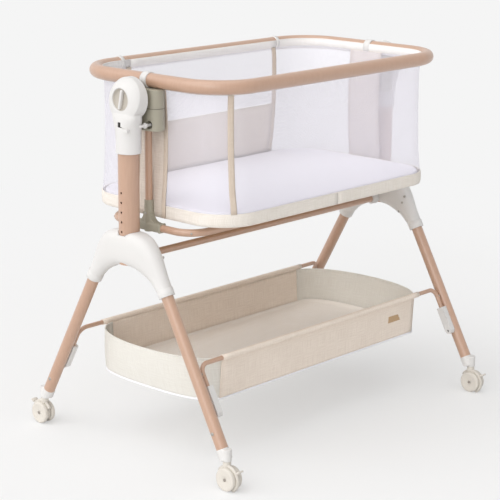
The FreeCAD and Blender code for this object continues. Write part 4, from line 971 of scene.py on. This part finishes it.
def outline(half_length, half_width, corner, height):
    """A ring of points, from the middle of the front counter-clockwise."""
    length = half_length - corner
    width = half_width - corner
    half_steps = STRAIGHT_STEPS // 2
    points = [(length * i / half_steps, -half_width) for i in range(half_steps)]
    for centre, start, target, steps in (
        ((length, -width), -90, (half_length, width), END_STEPS),
        ((length, width), 0, (-length, half_width), STRAIGHT_STEPS),
        ((-length, width), 90, (-half_length, -width), END_STEPS),
        ((-length, -width), 180, (0, -half_width), half_steps),
    ):
        bend = arc(centre, corner, start, start + 90, CORNER_STEPS)
        points += bend[:-1]
        points += [between(bend[-1], target, i / steps) for i in range(steps)]
    return [Vector((x, y, height)) for x, y in points]


def wall_ring(height):
    """The walls' whole outline at a height."""
    half_length, half_width, corner = level_at(height)
    return outline(half_length, half_width, corner, height)


def on_wall(side, place, height, outward, ends):
    """A point on or outward of the front (side -1) or back (side 1) wall, or of the left or right end."""
    half_along, half_across, corner = level_at(height)
    if ends:
        half_along, half_across = half_across, half_along
    along = max(abs(place) - (half_along - corner), 0.0)
    across = math.sqrt(max(corner ** 2 - along ** 2, 0.0))
    normal = Vector((math.copysign(along, place), side * across, 0)).normalized()
    point = Vector((place, side * (half_across - corner + across), height)) + normal * outward
    return point.yxz if ends else point


def evenly(start, end, steps):
    """Evenly spaced numbers."""
    return [start + (end - start) * i / steps for i in range(steps + 1)]


# ---------------------------------------------------------------- mesh walls and linen panels

DROP_MIN_X = DROP_LOW.x + 0.002
DROP_MAX_X = DROP_HIGH.x - 0.0145
HEM_TOP = 0.811
PANEL_FOOT = TRAY_BOTTOM - 0.002
SEAM = 0.001
TAPE_DEPTH = 0.0022


def open_wall(height):
    """Points from the drop side's left edge, round the left end, front and right end, to its right edge."""
    ring = wall_ring(height)
    count = len(ring)
    start = next(i for i in range(count) if ring[i].y > 0.1 and ring[i].x < DROP_MIN_X and
                 ring[(i - 1) % count].x >= DROP_MIN_X)
    points = [Vector((DROP_MIN_X, level_at(height)[1], height))]
    i = start
    while not (ring[i].y > 0.1 and ring[i].x > 0 and ring[(i + 1) % count].x <= DROP_MAX_X):
        points.append(ring[i].copy())
        i = (i + 1) % count
    points.append(ring[i].copy())
    points.append(Vector((DROP_MAX_X, level_at(height)[1], height)))
    return points


def evened(rows):
    """Rows with the same number of points, spaced evenly along each."""
    count = max(len(row) for row in rows)
    result = []
    for row in rows:
        lengths = lengths_along(row)
        places = np.linspace(0, lengths[-1], count)
        columns = [np.interp(places, lengths, [p[k] for p in row]) for k in range(3)]
        result.append([Vector(p) for p in zip(*columns)])
    return result


def wall_patch(name, points_of, low, high, steps, material, body="bassinet",
               thickness=0.0):
    """A stretched sheet on the wall's surface between two heights."""
    rows = evened([points_of(height) for height in evenly(low, high, steps)])
    return cloth(name, rows, material, body, thickness)


def run(side, start, end, outward=0.0, steps=24, ends=False):
    """A row of points along a wall, for any height."""
    places = evenly(start, end, steps)
    return lambda height: [on_wall(side, place, height, outward, ends) for place in places]


def make_walls():
    """The net all round, the linen panels behind and at both ends, and the tapes that bind them."""
    net_wall = wall_patch("mesh_wall_net", open_wall, WALL_BOTTOM, HEM_TOP, 22, NET)
    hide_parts("mesh_walls")
    panel = wall_patch("back_linen_panel", run(1, DROP_MIN_X, DROP_MAX_X), WALL_BOTTOM, PANEL_TOP, 10,
                       LINEN, thickness=0.0012)
    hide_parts("back_panel")
    drop = wall_patch("drop_side_net", run(1, DROP_MIN_X + SEAM, DROP_MAX_X - SEAM), PANEL_TOP + SEAM,
                      HEM_TOP, 12, NET, "drop_side")
    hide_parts("drop_mesh")
    for name, side in (("left", -1), ("right", 1)):
        across = run(side, 0.044, -0.036, 0.0024, 20, ends=True)
        wall_patch(f"{name}_end_panel", across, PANEL_FOOT, HEM_TOP, 20, LINEN, thickness=0.0014)
        for edge, start in (("near", -0.042), ("far", 0.042)):
            across = run(side, start, start + 0.0104, 0.0032, 4, ends=True)
            wall_patch(f"{name}_end_binding_{edge}", across, PANEL_FOOT, HEM_TOP, 20, BINDING,
                       thickness=TAPE_DEPTH)
    for name, side, start, end in (("front_strip", -1, -0.324, -0.313),
                                   ("back_right_strip", 1, 0.240, 0.254),
                                   ("back_left_strip", 1, -0.244, -0.230)):
        strip = run(side, start, end, 0.0010, 4)
        wall_patch(name, strip, WALL_BOTTOM, HEM_TOP, 20, BINDING, thickness=TAPE_DEPTH)


RAIL_BEND = 0.099


def rail_path():
    """The centre line of the fixed rail, from the drop side's left edge round to its right edge."""
    length = RAIL_HIGH.x - RAIL_RADIUS - RAIL_BEND
    width = RAIL_Y - RAIL_BEND
    low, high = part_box("rail_sleeves")
    bends = corner_arcs(length, width, RAIL_BEND, 16, first=1)
    return [Vector((x, y, RAIL_Z)) for x, y in ((low.x + 0.019, RAIL_Y), *bends, (high.x - 0.019, RAIL_Y))]


def hem_section(radius, start, end, thickness, steps=14):
    """Cloth wrapped round the rail's underside between two angles, as a closed thin section."""
    outer = arc((0, 0), radius + thickness, start, end, steps)
    inner = arc((0, 0), radius, end, start, steps)
    return outer + inner


def make_hems():
    """Cloth hems round the rail's inner and lower side, with a cord above and a darker line below."""
    section = hem_section(RAIL_RADIUS + 0.0001, 148, 262, 0.0009)
    place(sweep("rail_hem", rail_path(), section, HEM), "bassinet", "linen")
    offset = RAIL_RADIUS + 0.0012
    for name, degrees, radius, material in (("rail_hem_piping", 150, 0.0012, HEM),
                                            ("rail_hem_lower_line", 258, 0.0011, HEM_LINE)):
        aside = offset * math.cos(math.radians(degrees))
        above = offset * math.sin(math.radians(degrees))
        cord = [(aside + a, above + b) for a, b in circle(radius, 8)]
        place(sweep(name, rail_path(), cord, material), "bassinet", "linen")
    drop_path = [Vector((x, RAIL_Y, RAIL_Z)) for x in evenly(DROP_HIGH.x, DROP_LOW.x, 24)]
    place(sweep("drop_rail_hem", drop_path, section, HEM), "drop_side", "linen")


make_walls()
make_hems()


# ---------------------------------------------------------------- base band and mattress

def make_base_band():
    """The linen skirt round the bassinet's floor, with piping at its upper edge, and its cloth floor."""
    rows = []
    for height, grow, corner in ((0.5246, -0.012, 0.078), (0.5242, -0.003, 0.087), (0.5252, 0.0002, 0.090),
                                 (0.5310, 0.0012, 0.090), (0.5400, 0.0014, 0.090), (0.5484, 0.0008, 0.090),
                                 (0.5504, 0.0000, 0.090)):
        ring = outline(0.3605 + grow * 0.4, 0.2145 + grow, corner, height)
        rows.append(ring + [ring[0].copy()])
    band = surface("base_band", rows, LINEN_BAND, thickness=0.0016)
    place(band, "bassinet", "linen", "base_tray")
    width, height, area = flat_size(rows)
    under = [[point.copy() for point in rows[0]]]
    for share in (0.85, 0.6, 0.3, 0.02):
        under.append([Vector((p.x * share, p.y * share, TRAY_BOTTOM - 0.0024)) for p in rows[0]])
    place(surface("base_cloth", under, LINEN_BAND, thickness=0.0010), "bassinet", "linen")
    edge = outline(0.3608, 0.2140, 0.090, 0.5508)
    place(sweep("base_band_piping", edge, circle(0.0015, 8), LINEN_BAND, loop=True), "bassinet", "linen")


MATTRESS_THICKNESS = 0.0250


def make_mattress():
    """A flat pad in a smooth cover, filling the floor, with softly rounded edges and a slight crown."""
    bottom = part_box("mattress")[0].z
    profile = [
        # share of height, inset
        (0.00, 0.030), (0.01, 0.012), (0.06, 0.0045), (0.20, 0.0012), (0.42, 0.0), (0.70, 0.0004),
        (0.86, 0.0018), (0.94, 0.0042), (0.985, 0.0085), (1.00, 0.0150), (1.01, 0.0350),
        (1.02, 0.1000), (1.02, 0.1500), (1.02, 0.2060),
    ]
    rows = []
    for share, inset in profile:
        half_width = 0.2098 - inset
        corner = max(0.0875 - inset, half_width * 0.55 if inset > 0.05 else 0.01)
        rows.append(outline(0.3555 - inset, half_width, min(corner, half_width - 0.0005),
                            bottom + MATTRESS_THICKNESS * share))
    pad = surface("mattress_pad", rows, MATTRESS, loop=True, caps=True)
    place(pad, "bassinet", "mattress_cover", "mattress")


make_base_band()
make_mattress()


# ---------------------------------------------------------------- basket

ROD_Y = 0.1882
ROD_Z = 0.242
HEM_RADIUS = 0.0066
STRAIGHT_X = 0.318
BASKET_TOP = 0.2375
BASKET_BOTTOM = 0.1455
LONG_HALF = 0.336
FOOT_Y = 0.1755
END_FOOT = (0.384, 0.1745, 2.8)    # half length, half width, fullness
END_BRIM = (0.401, 0.1800, 2.1)


def basket_ring(height, half_length, half_width, fullness, corner_steps=22):
    """The basket's left end, from its back straight round to its front."""
    points = []
    for i in range(2 * corner_steps + 1):
        along, across = rounded_turn(math.radians(90 - 180 * i / (2 * corner_steps)), fullness)
        reach = STRAIGHT_X + (half_length - STRAIGHT_X) * along
        points.append(Vector((-reach, half_width * across, height)))
    return points


def end_wall_rows(steps=12):
    """The end wall from its foot to its brim, which reaches further out and is rounder."""
    rows = []
    for share in evenly(0, 1, steps):
        height = BASKET_BOTTOM + (BASKET_TOP - BASKET_BOTTOM) * share
        half_length, half_width, fullness = between(END_FOOT, END_BRIM, share)
        bulge = 0.0025 * math.sin(math.pi * share)
        rows.append(basket_ring(height, half_length + bulge, half_width, fullness))
    return rows


def long_wall_rows(side, steps=12, columns=44):
    """The front or back wall, leaning out from its foot to the rod, with faint ripples."""
    rows = []
    for share in evenly(0, 1, steps):
        height = BASKET_BOTTOM + (ROD_Z - 0.004 - BASKET_BOTTOM) * share
        lean = FOOT_Y + (ROD_Y - HEM_RADIUS * 0.9 - FOOT_Y) * share
        row = []
        for x in evenly(-LONG_HALF, LONG_HALF, columns):
            ripple = 0.0008 * math.sin(x * 41 + share * 3.1) * math.sin(math.pi * share)
            row.append(Vector((x, side * (lean + ripple), height)))
        rows.append(row)
    return rows


def along_x(half, y, z, steps=40):
    """Evenly spaced points of a line along the crib."""
    return [Vector((x, y, z)) for x in evenly(-half, half, steps)]


def make_basket():
    """The fabric tub: long walls hung from the rods, round ends, and piping along the foot."""
    section = hem_section(0.0051, -267, 87, 0.0014, 28)
    for side, name in ((-1, "front"), (1, "back")):
        cloth(f"basket_{name}_wall", long_wall_rows(side), BASKET_LINEN, "stand",
              0.0020)
        hem = sweep(f"basket_{name}_hem", along_x(0.342, side * ROD_Y, ROD_Z), section, BASKET_LINEN)
        place(hem, "stand", "linen")
        edge = along_x(LONG_HALF, side * (FOOT_Y + 0.001), BASKET_BOTTOM)
        place(sweep(f"basket_{name}_piping", edge, circle(0.0022, 10), PIPING), "stand", "linen")
    rows = end_wall_rows()
    end = surface("basket_end", rows, BASKET_END, thickness=0.0022)
    other = turned_copy(end, "right_basket_end_wall")
    end.name = "left_basket_end_wall"
    width, height, area = flat_size(rows)
    for wall in (end, other):
        place(wall, "stand", "linen")
    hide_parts("basket_tub")
    piping = sweep("end_piping", rows[0], circle(0.0030, 10), PIPING)
    both_ends(piping, "{}_basket_end_piping", "stand", "linen")
    brim = sweep("end_brim", rows[-1], circle(0.0017, 10), BASKET_END)
    both_ends(brim, "{}_basket_end_brim", "stand", "linen")


def make_basket_floor():
    """The stiff lined floor, whose lining turns up where it meets the walls."""
    low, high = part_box("basket_floor_insert")
    ring = basket_ring(0, 0.3795, 0.1715, 2.8)
    whole = ring + [Vector((-p.x, -p.y, 0)) for p in ring]
    rows = []
    for height, share in ((low.z, 0.995), (low.z + 0.003, 1.0), (high.z + 0.0074, 1.002),
                          (high.z + 0.0078, 0.999), (high.z + 0.0070, 0.996), (high.z + 0.0034, 0.986),
                          (high.z + 0.0012, 0.970), (high.z + 0.0004, 0.950), (high.z + 0.0006, 0.7),
                          (high.z + 0.0008, 0.3), (high.z + 0.0008, 0.02)):
        rows.append([Vector((p.x * share, p.y * share, height)) for p in whole])
    floor = surface("basket_floor", rows, BASKET_FLOOR, loop=True, caps=True)
    place(floor, "stand", "basket_lining", "basket_floor_insert")


make_basket()
make_basket_floor()
refinish(TAPE, "basket_label")
refinish(WHITE, "basket_brackets")


# ---------------------------------------------------------------- floor, light and camera

BACKDROP = colour(245, 245, 245)


def make_stage():
    """Pale paper that keeps the crib's shadow near it and fades into an even backdrop further off."""
    nodes = Nodes("ground_paper")
    where = nodes.add("ShaderNodeTexCoord")
    reach = nodes.add("ShaderNodeVectorMath", operation="LENGTH")
    nodes.link(where.outputs["Object"], reach.inputs[0])
    far = nodes.add("ShaderNodeMapRange", interpolation_type="SMOOTHSTEP", From_Min=0.7, From_Max=2.6)
    nodes.link(reach.outputs["Value"], far.inputs["Value"])
    rays = nodes.add("ShaderNodeLightPath")
    near = nodes.math("MAXIMUM", far.outputs["Result"], 0.42)
    share = nodes.math("MULTIPLY", near, rays.outputs["Is Camera Ray"])
    nodes.mix(share, nodes.add("ShaderNodeEmission", Color=BACKDROP, Strength=1.0), "Material Output")
    material = nodes.finish(Base_Color=(0.86, 0.86, 0.86, 1), Roughness=1.0, Specular_IOR_Level=0.0)
    corners = [(-60, -60, 0), (60, -60, 0), (60, 60, 0), (-60, 60, 0)]
    mesh_piece("ground", corners, [(0, 1, 2, 3)], material)


def make_world():
    """Even soft light, stronger from the left, with a plain pale backdrop behind the crib."""
    nodes = Nodes("studio", "worlds", "Background")
    where = nodes.add("ShaderNodeTexCoord")
    parts = nodes.add("ShaderNodeSeparateXYZ")
    side = nodes.add("ShaderNodeMapRange", From_Min=-1.0, From_Max=1.0, To_Min=1.20, To_Max=0.06)
    nodes.link(where.outputs["Generated"], parts.inputs[0])
    nodes.link(parts.outputs["X"], side.inputs["Value"])
    nodes.link(side.outputs["Result"], nodes.shader.inputs["Strength"])
    rays = nodes.add("ShaderNodeLightPath")
    seen = rays.outputs["Is Camera Ray"]
    for kind in ("Is Glossy Ray", "Is Transmission Ray"):
        seen = nodes.math("MAXIMUM", seen, rays.outputs[kind])
    nodes.mix(seen, nodes.add("ShaderNodeBackground", Color=BACKDROP, Strength=1.0), "World Output")
    bpy.context.scene.world = nodes.finish(Color=(1.0, 0.995, 0.988, 1))


def soft_sun(name, towards, strength, spread, tint=(1, 1, 1)):
    """A broad lamp, given by the direction towards it."""
    data = bpy.data.lights.new(name, "SUN")
    data.energy = strength
    data.angle = math.radians(spread)
    data.color = tint
    lamp = bpy.data.objects.new(name, data)
    lamp.rotation_euler = (-Vector(towards)).to_track_quat("-Z", "Y").to_euler()
    bpy.context.scene.collection.objects.link(lamp)


def make_camera():
    """The photograph's camera, worked out from the crib's own sizes."""
    focal_pixels = 1654.2
    image_width = 500
    position = Vector((-2.7607, -2.4987, 1.3333))
    yaw, pitch, roll = 0.744865, 0.250525, 0.006288
    ahead = Vector((math.cos(pitch) * math.cos(yaw), math.cos(pitch) * math.sin(yaw), -math.sin(pitch)))
    right = Vector((math.sin(yaw), -math.cos(yaw), 0))
    up = right.cross(ahead)
    right, up = (right * math.cos(roll) + up * math.sin(roll), up * math.cos(roll) - right * math.sin(roll))
    data = bpy.data.cameras.new("camera")
    data.sensor_width = 36
    data.lens = focal_pixels / image_width * data.sensor_width
    data.shift_x = -0.5 / image_width
    data.shift_y = 0.5 / image_width
    data.clip_end = 200
    camera = bpy.data.objects.new("camera", data)
    axes = Matrix((right, up, -ahead)).transposed().to_4x4()
    camera.matrix_world = Matrix.Translation(position) @ axes
    bpy.context.scene.collection.objects.link(camera)
    bpy.context.scene.camera = camera


make_stage()
make_world()
soft_sun("key", (-0.66, 0.26, 0.70), 0.85, 60)
soft_sun("top", (0.0, 0.0, 1.0), 0.60, 60)
soft_sun("low_left", (-0.82, -0.37, 0.34), 0.50, 30)
make_camera()
bpy.context.scene.view_settings.view_transform = "Standard"
